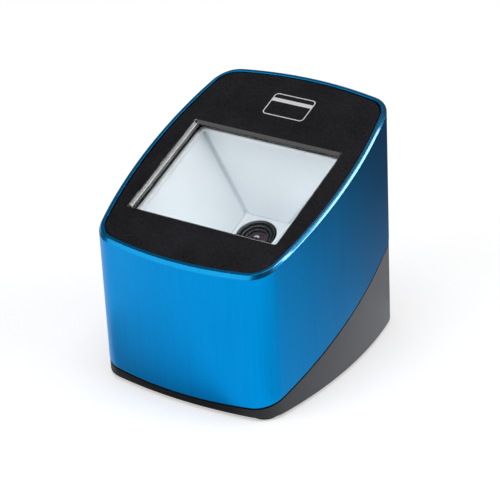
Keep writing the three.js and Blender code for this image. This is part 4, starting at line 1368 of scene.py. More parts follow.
# %% The funnel's sizes
funnel_wall = 1.5
mouth_straight = 1.5
flange_thickness = 1.6
flange_margin = 2.3
flange_top = pane_under + layer_gap
taper_top = flange_top + mouth_straight
flange_under = flange_top + flange_thickness
throat_depth = 28.9
floor_depth = 30.1
floor_under = 30.9
throat_width = 18.1
throat_length = 17.7
throat_shift = 1.65
throat_y = window_y + throat_shift
mouth_radius = 1.2
throat_radius = 1.1
crease_depth = 0.85
mouth_lip = 2.0
mouth_end_lip = 0.3
crease_shade_reach = 0.8
floor_crease = 0.4
boss_bite = 0.6
boss_radius = 2.6
boss_length = 14.7
lens_hole = 7.7
led_board_depth = 25.0
engine_screw_inset = 4
engine_screw_y = 10
small_bite = 5


def mouth_ring(wall, depth):
    """A ring of the mouth, at a wall's thickness outside its inner face."""
    return like_window(wall - mouth_lip, wall - mouth_end_lip, mouth_radius + wall, depth)


def throat_ring(wall, depth):
    """A ring around the floor, at a wall's thickness outside its inner face."""
    width = throat_width + 2 * wall
    length = throat_length + 2 * wall
    return rounded_ring(width, length, throat_radius + wall, -depth, 0, throat_y)


def creased(ring):
    """Pushes the corners of a ring out into a fine groove, deepest in the middle of each corner."""
    middle = sum(ring, Vector()) / len(ring)
    made = []
    for index, point in enumerate(ring):
        step = max(0, index % (wide_steps + corner_steps) - wide_steps)
        push = crease_depth * math.sin(math.pi * step / corner_steps)
        made.append(point + (point - middle).normalized() * push)
    return made


led_board_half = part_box("led_board")[1].x / MM
engine_places = four_places(led_board_half - engine_screw_inset, engine_screw_y, throat_y)
print("funnel from", round(flange_top, 2), "to", floor_under, "mm below the rim")

# %% The funnel
hole_top = circle_like(throat_ring(0, floor_depth), lens_hole, -floor_depth)
hole_low = circle_like(throat_ring(0, floor_depth), lens_hole, -floor_under)
funnel_rings = [
    mouth_ring(0, flange_top),
    creased(mouth_ring(0, taper_top)),
    creased(throat_ring(0, floor_depth)),
    hole_top,
    hole_low,
    throat_ring(funnel_wall, floor_under),
    throat_ring(funnel_wall, throat_depth),
    mouth_ring(funnel_wall, flange_under),
    window_ring(flange_margin, flange_under),
    window_ring(flange_margin, flange_top),
]
funnel_eases = [0.3, 0.3, floor_crease, 0.06, 0.1, 0.3, 0.3, 0.3, 0.15, 0.15]
funnel = shell("funnel_shell", eased(funnel_rings, funnel_eases, steps=5), place=on_face)
print("funnel shell has", len(funnel.data.polygons), "faces")

# %% The funnel's ears, bosses and bores
funnel_ears = rods(ear_places, ear_radius, -flange_under, -flange_top, place=on_face)
webs = []
for x, y in ear_places:
    middle = y - math.copysign(ear_reach / 2, y - window_y)
    webs.append(block("web", 2 * ear_radius, ear_reach, -flange_under, -flange_top, x, middle, on_face))
boss_low = fit_gap - led_board_depth
bosses = rods(engine_places, boss_radius, boss_low, boss_low + boss_length, place=on_face)
inside_rings = [
    mouth_ring(boss_bite, flange_top),
    mouth_ring(boss_bite, taper_top),
    throat_ring(boss_bite, floor_depth),
]
for boss in bosses:
    cut(boss, [shell("funnel_inside", inside_rings, False, on_face)])
joined(funnel, funnel_ears + webs + bosses)
ear_low = -flange_under - overshoot
bore_top = small_bite - led_board_depth
ear_holes = rods(ear_places, small_hole, ear_low, -flange_top + overshoot, bore_sides, on_face)
boss_bores = rods(engine_places, small_hole, boss_low - overshoot, bore_top, bore_sides, on_face)
cut(funnel, ear_holes + boss_bores)
print("funnel now has", len(funnel.data.polygons), "faces")

# %% The funnel's painted shade in its creases and painted light on its lip
floor_slack = 0.03
# Painted shade: a darker grey in the funnel's creases and at the edge of its floor.
crease_shade_grey = moulded("crease_shade_grey", (0.68, 0.75, 0.8), 0.25, 0.006, 0.42, lift=1.05)
# Painted light: a lighter white on the lip around the funnel's mouth.
lip_light_white = moulded("lip_light_white", (0.93, 0.94, 0.95), 0.25, 0.006, 0.42, lift=1.03)


def on_funnel(point):
    """1 in the creases and at the floor's edge, painted darker as shade, and 2 on the mouth's lip, painted
    lighter as light.
    """
    at = off_face @ point
    depth = -at.z
    if depth < taper_top:
        return 2
    share = (depth - taper_top) / (floor_depth - taper_top)
    half_width = (window_width / 2 - mouth_lip) * (1 - share) + throat_width / 2 * share
    half_length = (window_length / 2 - mouth_end_lip) * (1 - share) + throat_length / 2 * share
    middle = window_y * (1 - share) + throat_y * share
    to_corner = math.hypot(half_width - abs(at.x), half_length - abs(at.y - middle))
    at_floor = floor_slack < floor_depth - depth < floor_crease
    return int(at_floor or (share < 1 and to_corner < crease_shade_reach))


funnel_finishes = [white, crease_shade_grey, lip_light_white]
finished(funnel, funnel_finishes, "white_plastic", ["light_funnel"], sharp=40, zone=on_funnel)

# %% [markdown]
# The lens.
# A small board lens is a black turned barrel. Around its glass the bezel goes down in steps, which kill
# stray light, and behind the head runs the focusing thread. Turning is what a lathe does, so the barrel is
# one profile swept round, with rings in place of the thread's helix. The glasses are turned too, with a
# domed front.

# %% The lens barrel
lens_sides = 96
lens_sink = 0.05
lens_front = floor_depth + lens_sink
barrel_radius = 7.5
head_reach = 4.1
head_end = throat_depth + head_reach
thread_length = 5
thread_end = head_end + thread_length
thread_radius = 6.0
thread_depth = 0.4
thread_turns = 9
tooth_foot = 0.1
groove_depth = 0.25
groove_low = 1.1
groove_high = 0.6
groove_slant = 0.15
head_chamfer = 0.2
bezel_radius = 6.7
bezel_depth = 1.1
bezel_steps = 2
bezel_draft = 0.05
seat_radius = 4.1
seat_depth = 2.0
seat_top = lens_front + bezel_depth
seat_low = seat_top + seat_depth
rear_bore = 3.4


def thread_profile():
    """Up the thread, tooth by tooth."""
    core = thread_radius - thread_depth
    pitch = thread_length / thread_turns
    profile = [(core, -thread_end)]
    for turn in range(thread_turns):
        height = -thread_end + turn * pitch
        profile += [(core, height + tooth_foot * pitch), (thread_radius, height + pitch / 2)]
        profile.append((core, height + (1 - tooth_foot) * pitch))
    return profile + [(core, -head_end)]


def head_profile():
    """Up the head, with a groove around it and a chamfer at its front."""
    groove = barrel_radius - groove_depth
    profile = [(barrel_radius, -head_end), (barrel_radius, -lens_front - groove_low)]
    profile += [(groove, -lens_front - groove_low + groove_slant)]
    profile += [(groove, -lens_front - groove_high - groove_slant)]
    profile += [(barrel_radius, -lens_front - groove_high), (barrel_radius, -lens_front - head_chamfer)]
    return profile + [(barrel_radius - head_chamfer, -lens_front)]


def bezel_profile():
    """Down the bezel, step by step."""
    profile = []
    drop = bezel_depth / bezel_steps
    shrink = (bezel_radius - seat_radius) / bezel_steps
    for step in range(bezel_steps):
        radius = bezel_radius - step * shrink
        height = -lens_front - step * drop
        profile += [(radius, height), (radius - bezel_draft, height - drop)]
    return profile


outer_profile = [(rear_bore, -thread_end), *thread_profile(), *head_profile()]
seat_profile = [(seat_radius, -seat_top), (seat_radius, -seat_low), (rear_bore, -seat_low)]
outer_eases = [0.06] * len(outer_profile)
bezel_eases = [0.18, 0.05] * bezel_steps
seat_eases = [0.15, 0.05, 0.05]
barrel_loop = outer_profile + bezel_profile() + seat_profile
barrel_eases = outer_eases + bezel_eases + seat_eases
barrel = turned("lens_barrel_turned", barrel_loop, barrel_eases, 0, throat_y, lens_sides, on_face, 4)
print("barrel: a loop of", len(barrel_loop), "points,", size_of(barrel), "mm")

# %% The bezel's edges with painted highlights
edge_highlight_reach = 0.16


def on_step_edge(point):
    """True on the small curves at the top of each bezel step, whose lighter, glossier black is a painted
    highlight.
    """
    at = off_face @ point
    radius = math.hypot(at.x, at.y - throat_y)
    for step in range(bezel_steps + 1):
        share = step / bezel_steps
        edge_radius = bezel_radius + (seat_radius - bezel_radius) * share
        edge_depth = lens_front + bezel_depth * share
        if abs(radius - edge_radius) < edge_highlight_reach and abs(at.z + edge_depth) < edge_highlight_reach:
            return True
    return False


barrel_finishes = [lens_black, edge_highlight_black]
finished(barrel, barrel_finishes, "black_plastic", ["lens_barrel"], sharp=35, zone=on_step_edge)


# %% The glasses
glass_edge = 1.1
glass_crown = 0.9
glass_steps = 16
glass_bevel = 0.15
glass_gap = 0.2
glint_inside = 0.5
glint_outside = 1.15
glint_foot = 0.1
# A painted glint: a light grey crescent on the front glass.
painted_glint = moulded("painted_glint", (0.6, 0.6, 0.61), 0.2, 0.002, 0.3, lift=1.1)


def on_painted_glint(point):
    """True on the painted glint, a light crescent above the middle of the front glass."""
    at = off_face @ point
    up = at.y - throat_y
    return up > glint_foot and glint_inside < math.hypot(at.x, up) < glint_outside


def glass_piece(name, radius, low, node, zone=None):
    """A glass with a domed front, and with a painted glint, a light crescent, where a zone is given."""
    dome = []
    for step in range(glass_steps):
        angle = step / glass_steps * math.pi / 2
        dome.append((radius * math.cos(angle), low + glass_edge + glass_crown * math.sin(angle)))
    back = [(0, low), (radius - glass_bevel, low), (radius, low + glass_bevel)]
    top = (0, low + glass_edge + glass_crown)
    made = turned(name, [*back, *dome, top], None, 0, throat_y, lens_sides, on_face)
    finishes = [lens_glass, painted_glint] if zone else lens_glass
    return finished(made, finishes, "coated_glass", [node], sharp=40, zone=zone)


glass_piece("front_glass", seat_radius - glass_gap, -seat_low + layer_gap, "front_lens", on_painted_glint)
glass_piece("rear_glass", rear_bore - glass_gap, -thread_end + layer_gap, "rear_lens")

# %% [markdown]
# The base.
# The base is a moulded wedge: its wall goes up to the slanted seam, steps in, and ends in a spigot that
# slides into the sleeve. A thin step under the seam makes the dark shadow line, and the step and the
# spigot are painted near black as its shade. The wall, the spigot and the floor are one stack of rings
# with two caps. Screw posts and standoffs are joined to it, and all holes are cut.

# %% The base shell
under = 1.2
foot_seat = 2.6
floor_top = 4.5
seam_shadow = 0.65
spigot_wall = 1.6
spigot_rise = 5
spigot_inset = sleeve_wall + fit_gap
spigot_inner = spigot_inset + spigot_wall
base_wall = 2.4
base_draft = 0.1
cap_inset = 8.5
collar_drop = 4.0
collar = seam(-collar_drop)


def cavity_top(y):
    return max(floor_top, collar(y))


def cavity_inset(y):
    """The inside steps out under the spigot, but only where the wall is high enough for it."""
    step = spigot_inner - base_wall
    return spigot_inner - step * share_of(collar(y), floor_top, step)


base_rings = [
    body_ring(cap_inset, level(under)),
    body_ring(base_draft, level(under)),
    body_ring(base_draft, seam(-seam_shadow)),
    body_ring(spigot_inset, seam(-seam_shadow)),
    body_ring(spigot_inset, seam(spigot_rise)),
    body_ring(spigot_inner, seam(spigot_rise)),
    body_ring(spigot_inner, cavity_top),
    body_ring(cavity_inset, cavity_top),
    body_ring(cavity_inset, level(floor_top)),
    body_ring(cap_inset, level(floor_top)),
]
base_eases = [0, 0.4, 0.15, 0.1, 0.4, 0.2, 0, 0, 0, 0]
base = shell("base_shell", eased(base_rings, base_eases, False), False)
print("base shell has", len(base.data.polygons), "faces")

# %% What stands in the base
board_side_margin = 15.5
board_front_margin = 10.9
board_rear_margin = 9.9
board_screw_inset = 4
board_rear_inset = 17
standoff_height = 3.9
foot_side_margin = 11.1
foot_end_margin = 9.2
main_board_x = body_width / 2 - board_side_margin
main_board_front = board_front_margin - body_depth / 2
main_board_rear = body_depth / 2 - board_rear_margin
board_front = main_board_front + board_screw_inset
board_rear = main_board_rear - board_rear_inset
board_x = main_board_x - board_screw_inset
board_places = four_places(board_x, (board_rear - board_front) / 2, (board_rear + board_front) / 2)
foot_places = four_places(body_width / 2 - foot_side_margin, body_depth / 2 - foot_end_margin)
buzzer_x, buzzer_y = box_middle("buzzer").xy
switch_x, switch_y = box_middle("reset_plunger").xy
socket_low, socket_high = (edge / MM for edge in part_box("data_socket"))
print("buzzer and switch at", [round(x, 3) for x in (buzzer_x, buzzer_y, switch_x, switch_y)], "mm")

# %% The base's posts and holes
sunk = 0.5
post_radius = 3.6
post_sides = 64
post_top = post_meet - fit_gap
clamp_thickness = 3
standoff_radius = 3
standoff_top = floor_top + standoff_height
head_bore = 2.7
hole_bevel = 0.3
foot_radius = 5.0
pocket_bevel = 0.15
leg_room = 1
leg_room_rise = 7
posts = rods(post_places, post_radius, under + sunk, post_top, post_sides)
standoffs = rods(board_places, standoff_radius, under + sunk, standoff_top)
joined(base, posts + standoffs)


def countersunk(radius, high, x, y, bevel, sides=48):
    """A cutter from the underside up that opens out below, which leaves a chamfer on the hole's edge."""
    low = under - overshoot
    wide = radius + bevel + overshoot
    profile = [(0, low), (wide, low), (radius, under + bevel), (radius, high), (0, high)]
    return turned("countersink", profile, None, x, y, sides)


head_seat = post_top - clamp_thickness
room_top = seam(leg_room_rise)(body_depth / 2)
pocket_radius = foot_radius + fit_gap
post_bores = [countersunk(head_bore, head_seat, x, y, hole_bevel) for x, y in post_places]
screw_holes = rods(post_places, case_hole, under, post_top + overshoot, bore_sides)
pockets = [countersunk(pocket_radius, foot_seat, x, y, pocket_bevel, post_sides) for x, y in foot_places]
leg_rooms = rods(post_places, leg_radius + leg_room, post_top, room_top)
pilots = rods(board_places, small_hole, floor_top, standoff_top + overshoot, bore_sides)
cut(base, post_bores + screw_holes + pockets + leg_rooms + pilots)
print("base now has", len(base.data.polygons), "faces")

# %% Slots, label recess and socket hole of the base
slot_count = 5
slot_pitch = 2.6
slot_top = floor_top - under + overshoot
slot_sizes = {"Width": 1.2, "Length": 12.0, "Corner": 0.5, "Low": -overshoot, "High": slot_top}
rim_sizes = {"Width": 1.8, "Length": 12.6, "Corner": 0.8, "Low": -0.9, "High": 0.25}
reset_radius = 0.9
label_width = 44
label_length = 24
label_corner = 1
label_depth = 0.3
label_slant = 0.2
label_y = 10
socket_cut = 8
seam_slack = 0.1


def in_a_row(count, pitch):
    """Shifts that spread a count of things evenly around a middle."""
    return [(index - (count - 1) / 2) * pitch for index in range(count)]


def label_ring(slant, height):
    width = label_width + 2 * slant
    length = label_length + 2 * slant
    return rounded_ring(width, length, label_corner + slant, height, 0, label_y)


slot_places = [(buzzer_x + shift, buzzer_y, under) for shift in in_a_row(slot_count, slot_pitch)]
deep_slots = grow("slots", slot_tree, slot_sizes, None, slot_places)
slot_rims = grow("slot_rims", slot_tree, rim_sizes, None, slot_places)
reset_hole = countersunk(reset_radius, floor_top + overshoot, switch_x, switch_y, hole_bevel, bore_sides)
label_rings = [label_ring(label_slant, under - label_slant), label_ring(0, under + label_depth)]
label_recess = shell("label", label_rings, False)
socket_width = socket_high.x - socket_low.x + 2 * fit_gap
hole_low = socket_low.z - fit_gap
hole_high = socket_high.z + fit_gap
socket_hole = block("socket_hole", socket_width, socket_cut, hole_low, hole_high, 0, body_depth / 2)
cut(base, [deep_slots, slot_rims, reset_hole, label_recess, socket_hole])


def in_seam_shade(point):
    """True on the step under the sleeve and on the spigot inside it, painted near black as the dark line's
    shade.
    """
    return point.z > seam(-seam_shadow - seam_slack)(point.y)


finished(base, [base_grey, seam_shade_black], "base_plastic", ["base_housing"], sharp=35, zone=in_seam_shade)

# %% [markdown]
# Feet.
# Each foot is a moulded rubber disc that sits in a shallow pocket. It stands on two flat rings with a
# groove between them, and its lower edge is soft.

# %% Feet
foot_top = 2.5
groove_height = 0.15
grip_slant = 0.2
inner_grip_start = 1.6
inner_grip_end = 2.3
outer_grip_start = 3.4
foot_taper = 0.1
foot_profile = [(0, groove_height), (inner_grip_start - grip_slant, groove_height), (inner_grip_start, 0)]
foot_profile += [(inner_grip_end, 0), (inner_grip_end + grip_slant, groove_height)]
foot_profile += [(outer_grip_start - grip_slant, groove_height), (outer_grip_start, 0)]
foot_profile += [(foot_radius - foot_taper, 0), (foot_radius, foot_top), (0, foot_top)]
foot_eases = [0] + [0.08] * 6 + [0.5, 0.1, 0]
foot_names = ["front_left", "front_right", "rear_left", "rear_right"]
for name, (x, y) in zip(foot_names, foot_places):
    foot = turned(f"foot_{name}", foot_profile, foot_eases, x, y, post_sides)
    finished(foot, foot_rubber, "black_rubber", [f"rubber_foot_{name}"])

# %% [markdown]
# The printed mark.
# Behind the window the plate carries a small white print: a plain card, made of an outline and a stripe.
# Ink lies on the surface as a layer thinner than a hair, so both are flat shells of that height.

# %% The printed mark
mark_width = 17
mark_length = 11
mark_corner = 1.6
mark_line = 0.4
mark_y = 32
ink_gap = 0.002
ink_thickness = 0.018
ink_low = -plate_sink + ink_gap
ink_high = ink_low + ink_thickness
stripe_length = 1.7
stripe_shift = 2.3
stripe_overlap = 0.1
stripe_corner = 0.1


def printed(name, width, length, corner, y, line=None):
    """A printed patch, or a printed outline where a line width is given."""
    outer = [rounded_ring(width, length, corner, z, 0, y) for z in (ink_low, ink_high)]
    if not line:
        return shell(name, outer, False, on_face)
    inner_width = width - 2 * line
    inner_length = length - 2 * line
    inner = [rounded_ring(inner_width, inner_length, corner - line, z, 0, y) for z in (ink_high, ink_low)]
    return shell(name, outer + inner, place=on_face)


outline_print = printed("card_outline", mark_width, mark_length, mark_corner, mark_y, mark_line)
finished(outline_print, ink, "white_plastic", None)
stripe_width = mark_width - 2 * mark_line + stripe_overlap
stripe_print = printed("card_stripe", stripe_width, stripe_length, stripe_corner, mark_y + stripe_shift)
finished(stripe_print, ink, "white_plastic", None)

# %% [markdown]
# Screws.
# Four self-tapping screws hold the case together from below, and smaller ones hold the funnel, the camera
# and the boards. A screw is a core with a helical thread, a pointed tip and a head with a cross recess.
# One node tree makes it from seven sizes, and each group of screws is one run of the tree.

# %% A tree for screws
screw_sides = 24
head_sides = 32
helix_steps = 16
tooth_sides = 3
tip_share = 0.25
crown_share = 0.74
wing_share = 1.1
slit_share = 0.26


def screw_nodes():
    """A screw on each point: its head rises from the point, and its thread goes down from it."""
    sizes = ["Core Radius", "Thread Depth", "Length", "Tip", "Head Radius", "Head Height", "Pitch"]
    tree, given = new_tree("screw", sizes, ["Turn"])
    shank = sum_of(tree, given["Length"], given["Tip"], "SUBTRACT")
    down = times(tree, shank, -1.0)
    values = {"Vertices": screw_sides, "Radius": given["Core Radius"], "Depth": shank}
    core = add(tree, "GeometryNodeMeshCylinder", values).outputs["Mesh"]
    core = shifted(tree, core, spot(tree, z=times(tree, shank, -0.5)))
    fine = times(tree, given["Core Radius"], tip_share)
    values = {"Vertices": screw_sides, "Radius Top": given["Core Radius"], "Radius Bottom": fine}
    values["Depth"] = given["Tip"]
    tip = add(tree, "GeometryNodeMeshCone", values).outputs["Mesh"]
    tip = shifted(tree, tip, spot(tree, z=times(tree, given["Length"], -1.0)))
    values = {"Resolution": helix_steps, "Rotations": sum_of(tree, shank, given["Pitch"], "DIVIDE")}
    values |= {"Start Radius": given["Core Radius"], "End Radius": given["Core Radius"], "Height": shank}
    helix = add(tree, "GeometryNodeCurveSpiral", values).outputs["Curve"]
    values = {"Resolution": tooth_sides, "Radius": given["Thread Depth"]}
    tooth = add(tree, "GeometryNodeCurvePrimitiveCircle", values, mode="RADIUS").outputs["Curve"]
    values = {"Curve": helix, "Profile Curve": tooth, "Fill Caps": True}
    thread = add(tree, "GeometryNodeCurveToMesh", values).outputs["Mesh"]
    thread = shifted(tree, thread, spot(tree, z=down))
    crown = times(tree, given["Head Radius"], crown_share)
    values = {"Vertices": head_sides, "Radius Top": crown, "Radius Bottom": given["Head Radius"]}
    values["Depth"] = given["Head Height"]
    head = add(tree, "GeometryNodeMeshCone", values).outputs["Mesh"]
    wing = times(tree, given["Head Radius"], wing_share)
    slit = times(tree, given["Head Radius"], slit_share)
    deep = times(tree, given["Head Height"], wing_share)
    cross = []
    for size in (spot(tree, wing, slit, deep), spot(tree, slit, wing, deep)):
        bar = add(tree, "GeometryNodeMeshCube", {"Size": size}).outputs["Mesh"]
        cross.append(shifted(tree, bar, spot(tree, z=given["Head Height"])))
    carve = add(tree, "GeometryNodeMeshBoolean", {"Mesh 1": head}, operation="DIFFERENCE", solver="EXACT")
    for bar in cross:
        tree.links.new(bar, carve.inputs["Mesh 2"])
    whole = gathered(tree, [core, tip, thread, carve.outputs["Mesh"]])
    return close_tree(tree, given, on_points(tree, given, whole, "Turn"))


screw_tree = screw_nodes()
print("tree:", screw_tree.name)

# %% Groups of screws
head_up = (0.0, 0.0, 0.0)
head_down = (math.pi, 0.0, 0.0)
case_sizes = {"Core Radius": 1.0, "Thread Depth": 0.25, "Pitch": 0.8, "Tip": 1.2}
case_sizes |= {"Head Radius": 2.3, "Head Height": 1.8}
small_sizes = {"Core Radius": 0.75, "Thread Depth": 0.2, "Pitch": 0.6, "Tip": 0.8}
small_sizes |= {"Head Radius": 1.9, "Head Height": 1.3}


def screws(name, length, seats, turn, place, replaced, kind=small_sizes):
    """A group of screws whose heads rest on the seats."""
    sizes = kind | {"Length": length, "Turn": turn}
    made = grow(name, screw_tree, sizes, screw_zinc, seats, place)
    return finished(made, screw_zinc, "screw_steel", replaced, sharp=30)


def four_of(kind):
    return [f"{kind}_{corner_name}" for corner_name in foot_names]


def at_height(places, height):
    return [(x, y, height) for x, y in places]


print("screws:", four_of("case_screw"))

# %% The screws
case_length = 9.0
board_length = 5.5
sensor_length = 4.2
solder_gap = 0.1
board_thickness = 1.6
board_top = standoff_top + solder_gap + board_thickness
case_seats = at_height(post_places, head_seat - solder_gap)
screws("case_screws", case_length, case_seats, head_down, upright, four_of("case_screw"), case_sizes)
board_seats = at_height(board_places, board_top + solder_gap)
screws("board_screws", board_length, board_seats, head_up, upright, four_of("board_screw"))
funnel_seats = at_height(ear_places, -flange_under - solder_gap)
funnel_length = flange_under - plate_under
screws("funnel_screws", funnel_length, funnel_seats, head_down, on_face, four_of("funnel_screw"))
bracket_thickness = 2.0
bracket_under = led_board_depth + board_thickness + fit_gap + bracket_thickness
engine_seats = at_height(engine_places, -bracket_under - solder_gap)
engine_length = bracket_under - led_board_depth + small_bite - layer_gap
screws("engine_screws", engine_length, engine_seats, head_down, on_face, four_of("engine_screw"))
sensor_gap = 1.2
sensor_thickness = 1.0
sensor_board_thickness = 1.2
sensor_under = thread_end + sensor_gap + sensor_thickness + solder_gap + sensor_board_thickness
pad_x = 13.6
pad_y = 10.6
sensor_seats = [(i * pad_x, throat_y + i * pad_y, -sensor_under - solder_gap) for i in (-1, 1)]
sensor_screws = ["sensor_screw_front_left", "sensor_screw_rear_right"]
screws("sensor_screws", sensor_length, sensor_seats, head_down, on_face, sensor_screws)

# %% [markdown]
# Ribbon cables.
# Three flat cables join the boards. Each is one strip swept along a curve from socket to socket, so a tree
# with the curve's four points and the strip's two sizes makes them all.

# %% A tree for ribbons
ribbon_steps = 32


def ribbon_nodes():
    sizes = ["Width", "Thickness"]
    tree, given = new_tree("ribbon", sizes, ["Start", "Start Handle", "End Handle", "End"])
    values = {"Resolution": ribbon_steps, "Start": given["Start"], "Start Handle": given["Start Handle"]}
    values |= {"End Handle": given["End Handle"], "End": given["End"]}
    kind = "GeometryNodeCurvePrimitiveBezierSegment"
    path = add(tree, kind, values, mode="POSITION").outputs["Curve"]
    values = {"Width": given["Width"], "Height": given["Thickness"]}
    strip = add(tree, "GeometryNodeCurvePrimitiveQuadrilateral", values).outputs["Curve"]
    values = {"Curve": path, "Profile Curve": strip, "Fill Caps": True}
    film_strip = add(tree, "GeometryNodeCurveToMesh", values).outputs["Mesh"]
    return close_tree(tree, given, on_points(tree, given, film_strip))


ribbon_tree = ribbon_nodes()
print("tree:", ribbon_tree.name)

# %% The ribbons
ribbon_thickness = 0.3
socket_reach = 2.3
up_slope = Vector((0, math.cos(tilt), math.sin(tilt)))
backward = Vector((0, 1, 0))


def ribbon(node, upper_socket, lower_socket, way, handle, width):
    """A cable between two sockets. Way is 1 where it leaves them backwards, and -1 forwards."""
    start = box_middle(upper_socket) + up_slope * (way * socket_reach)
    end = box_middle(lower_socket) + backward * (way * socket_reach)
    sizes = {"Width": float(width), "Thickness": ribbon_thickness, "Start": start * MM, "End": end * MM}
    sizes["Start Handle"] = (start + up_slope * (way * handle)) * MM
    sizes["End Handle"] = (end + backward * (way * handle)) * MM
    made = grow(f"{node}_film", ribbon_tree, sizes, film)
    return finished(made, film, "ribbon_film", [node])


ribbon("engine_ribbon", "sensor_ribbon_socket", "main_engine_socket", way=-1, handle=11, width=10)
ribbon("led_ribbon", "led_ribbon_socket", "main_led_socket", way=-1, handle=13, width=6)
ribbon("antenna_ribbon", "antenna_ribbon_socket", "main_antenna_socket", way=1, handle=6, width=4)

# %% [markdown]
# Lock ring, contacts and reset button.
# The lens is locked by a ring with a knurled edge: ribs stand in a circle around it. In the data socket
# lie eight gilded spring wires. The reset button is a turned pin, and the only part that moves.

# %% The lock ring
ring_sides = 96
knurl_count = 60
knurl_sides = 10
knurl_share = 0.9


def knurl_nodes():
    """A ring on each point, with a circle of upright ribs around it."""
    tree, given = new_tree("knurl", ["Radius", "Wall", "Height", "Rib Radius"])
    values = {"Radius": given["Radius"], "Resolution": ring_sides}
    path = add(tree, "GeometryNodeCurvePrimitiveCircle", values, mode="RADIUS").outputs["Curve"]
    values = {"Width": given["Wall"], "Height": given["Height"]}
    section = add(tree, "GeometryNodeCurvePrimitiveQuadrilateral", values).outputs["Curve"]
    ring = add(tree, "GeometryNodeCurveToMesh", {"Curve": path, "Profile Curve": section}).outputs["Mesh"]
    edge = sum_of(tree, given["Radius"], times(tree, given["Wall"], 0.5))
    spots = add(tree, "GeometryNodeMeshCircle", {"Vertices": knurl_count, "Radius": edge}).outputs["Mesh"]
    tall = times(tree, given["Height"], knurl_share)
    values = {"Vertices": knurl_sides, "Radius": given["Rib Radius"], "Depth": tall}
    rib = add(tree, "GeometryNodeMeshCylinder", values).outputs["Mesh"]
    ribs = add(tree, "GeometryNodeInstanceOnPoints", {"Points": spots, "Instance": rib}).outputs["Instances"]
    return close_tree(tree, given, on_points(tree, given, gathered(tree, [ring, ribs])))


lock_height = 1.1
lock_sizes = {"Radius": 6.65, "Wall": 0.9, "Height": lock_height, "Rib Radius": 0.25}
lock_middle = [(0, throat_y, -head_end - fit_gap - lock_height / 2)]
lock_ring = grow("lock_ring", knurl_nodes(), lock_sizes, part_black, lock_middle, on_face)
print("lock ring", size_of(lock_ring))
finished(lock_ring, part_black, "black_plastic", ["lens_lock_ring"], sharp=30)


# %% The contacts
wire_steps = 10
wire_sides = 8


def contact_nodes():
    """A bent wire on each point, from a back end over a bend to a front end."""
    tree, given = new_tree("contact", ["Wire Radius"], ["Back", "Bend", "Front"])
    values = {"Resolution": wire_steps, "Start": given["Back"], "Middle": given["Bend"]}
    values["End"] = given["Front"]
    wire = add(tree, "GeometryNodeCurveQuadraticBezier", values).outputs["Curve"]
    values = {"Resolution": wire_sides, "Radius": given["Wire Radius"]}
    section = add(tree, "GeometryNodeCurvePrimitiveCircle", values, mode="RADIUS").outputs["Curve"]
    values = {"Curve": wire, "Profile Curve": section, "Fill Caps": True}
    spring = add(tree, "GeometryNodeCurveToMesh", values).outputs["Mesh"]
    return close_tree(tree, given, on_points(tree, given, spring))


contact_count = 8
contact_pitch = 1.02
mouth_height = 11.6
mouth_depth = 14
mouth_top = socket_low.z + mouth_height
mouth_back = socket_high.y - mouth_depth
contact_sizes = {"Wire Radius": 0.2, "Back": Vector((0, 0.1, -3.2)) * MM}
contact_sizes |= {"Bend": Vector((0, 6, -3.4)) * MM, "Front": Vector((0, 11, -0.3)) * MM}
contact_places = [(shift, mouth_back, mouth_top) for shift in in_a_row(contact_count, contact_pitch)]
contacts = grow("socket_contacts", contact_nodes(), contact_sizes, gold, contact_places)
finished(contacts, gold, "screw_steel", None)

# %% The reset button
pin_radius = 1.2
pin_flange_radius = 1.7
pin_flange_height = 0.5
pin_low, pin_high = (edge.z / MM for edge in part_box("reset_plunger"))
flange_low = pin_high - pin_flange_height
pin_profile = [(0, pin_low), (pin_radius, pin_low), (pin_radius, flange_low)]
pin_profile += [(pin_flange_radius, flange_low), (pin_flange_radius, pin_high), (0, pin_high)]
pin = turned("reset_pin", pin_profile, [0, 0.3, 0.05, 0.1, 0.1, 0], switch_x, switch_y, 48)
finished(pin, button_grey, "button_grey", ["reset_plunger"], "reset_button")

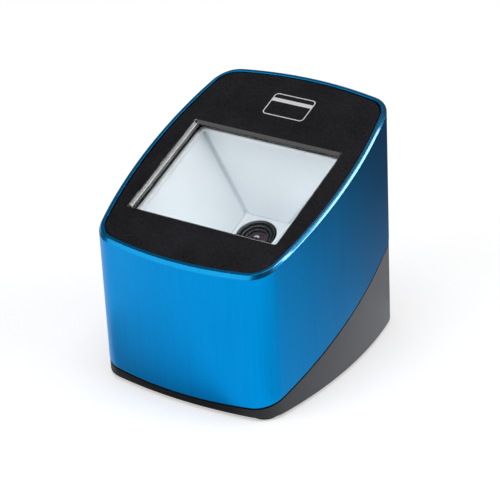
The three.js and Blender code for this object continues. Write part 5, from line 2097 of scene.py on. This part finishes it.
# %% [markdown]
# The remaining parts inside.
# Boards, chips, sockets and the camera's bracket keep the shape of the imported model. Moulded and sawn
# edges are never razor sharp, so a copy of each part gets its flat faces merged and its edges rounded by a
# bevel. A bevel never reaches past the faces beside it, so every part stays in its box.

# %% The remaining parts inside
flat_within = math.radians(1)
bevel_above = math.radians(40)


def softened(node, width):
    """A copy of a part of the frame with rounded edges. Width is in millimetres."""
    mesh = nodes[node].data.copy()
    mesh.transform(nodes[node].matrix_world)
    work = bmesh.new()
    work.from_mesh(mesh)
    bmesh.ops.remove_doubles(work, verts=work.verts, dist=weld_reach * MM)
    bmesh.ops.dissolve_limit(work, angle_limit=flat_within, verts=work.verts, edges=work.edges)
    work.to_mesh(mesh)
    work.free()
    made = bpy.data.objects.new(f"{node}_soft", mesh)
    studio.collection.objects.link(made)
    bevel = made.modifiers.new("bevel", "BEVEL")
    bevel.width = width * MM
    bevel.segments = 2
    bevel.limit_method = "ANGLE"
    bevel.angle_limit = bevel_above
    plain_mesh(made)
    return finished(made, finish_of_slot[slot_of[node]], slot_of[node], [node], sharp=50)


soft_widths = {
    "data_socket": 0.25,
    "buzzer": 0.3,
    "shield_can": 0.2,
    "processor_chip": 0.12,
    "image_sensor": 0.1,
    "camera_bracket": 0.25,
    "lens_holder": 0.2,
    "reset_switch": 0.15,
    "antenna_tape": 0.08,
}
lamps = ["led_left", "led_right", "led_front", "led_rear"]
boards = ["main_board", "sensor_board", "led_board", "antenna_board"]
upper_sockets = ["sensor_ribbon_socket", "led_ribbon_socket", "antenna_ribbon_socket"]
lower_sockets = ["main_engine_socket", "main_led_socket", "main_antenna_socket"]
soft_widths |= dict.fromkeys(lamps, 0.25) | dict.fromkeys(boards, 0.1)
soft_widths |= dict.fromkeys(upper_sockets + lower_sockets, 0.12)
for node, width in soft_widths.items():
    softened(node, width)

# %% [markdown]
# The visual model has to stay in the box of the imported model, so both boxes are kept side by side.

# %% Keep both boxes and finish
low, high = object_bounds()
gaps = [round((a - b) / MM, 3) for a, b in zip([*cad_low, *cad_high], [*low, *high])]
print("boxes differ by", gaps, "mm")
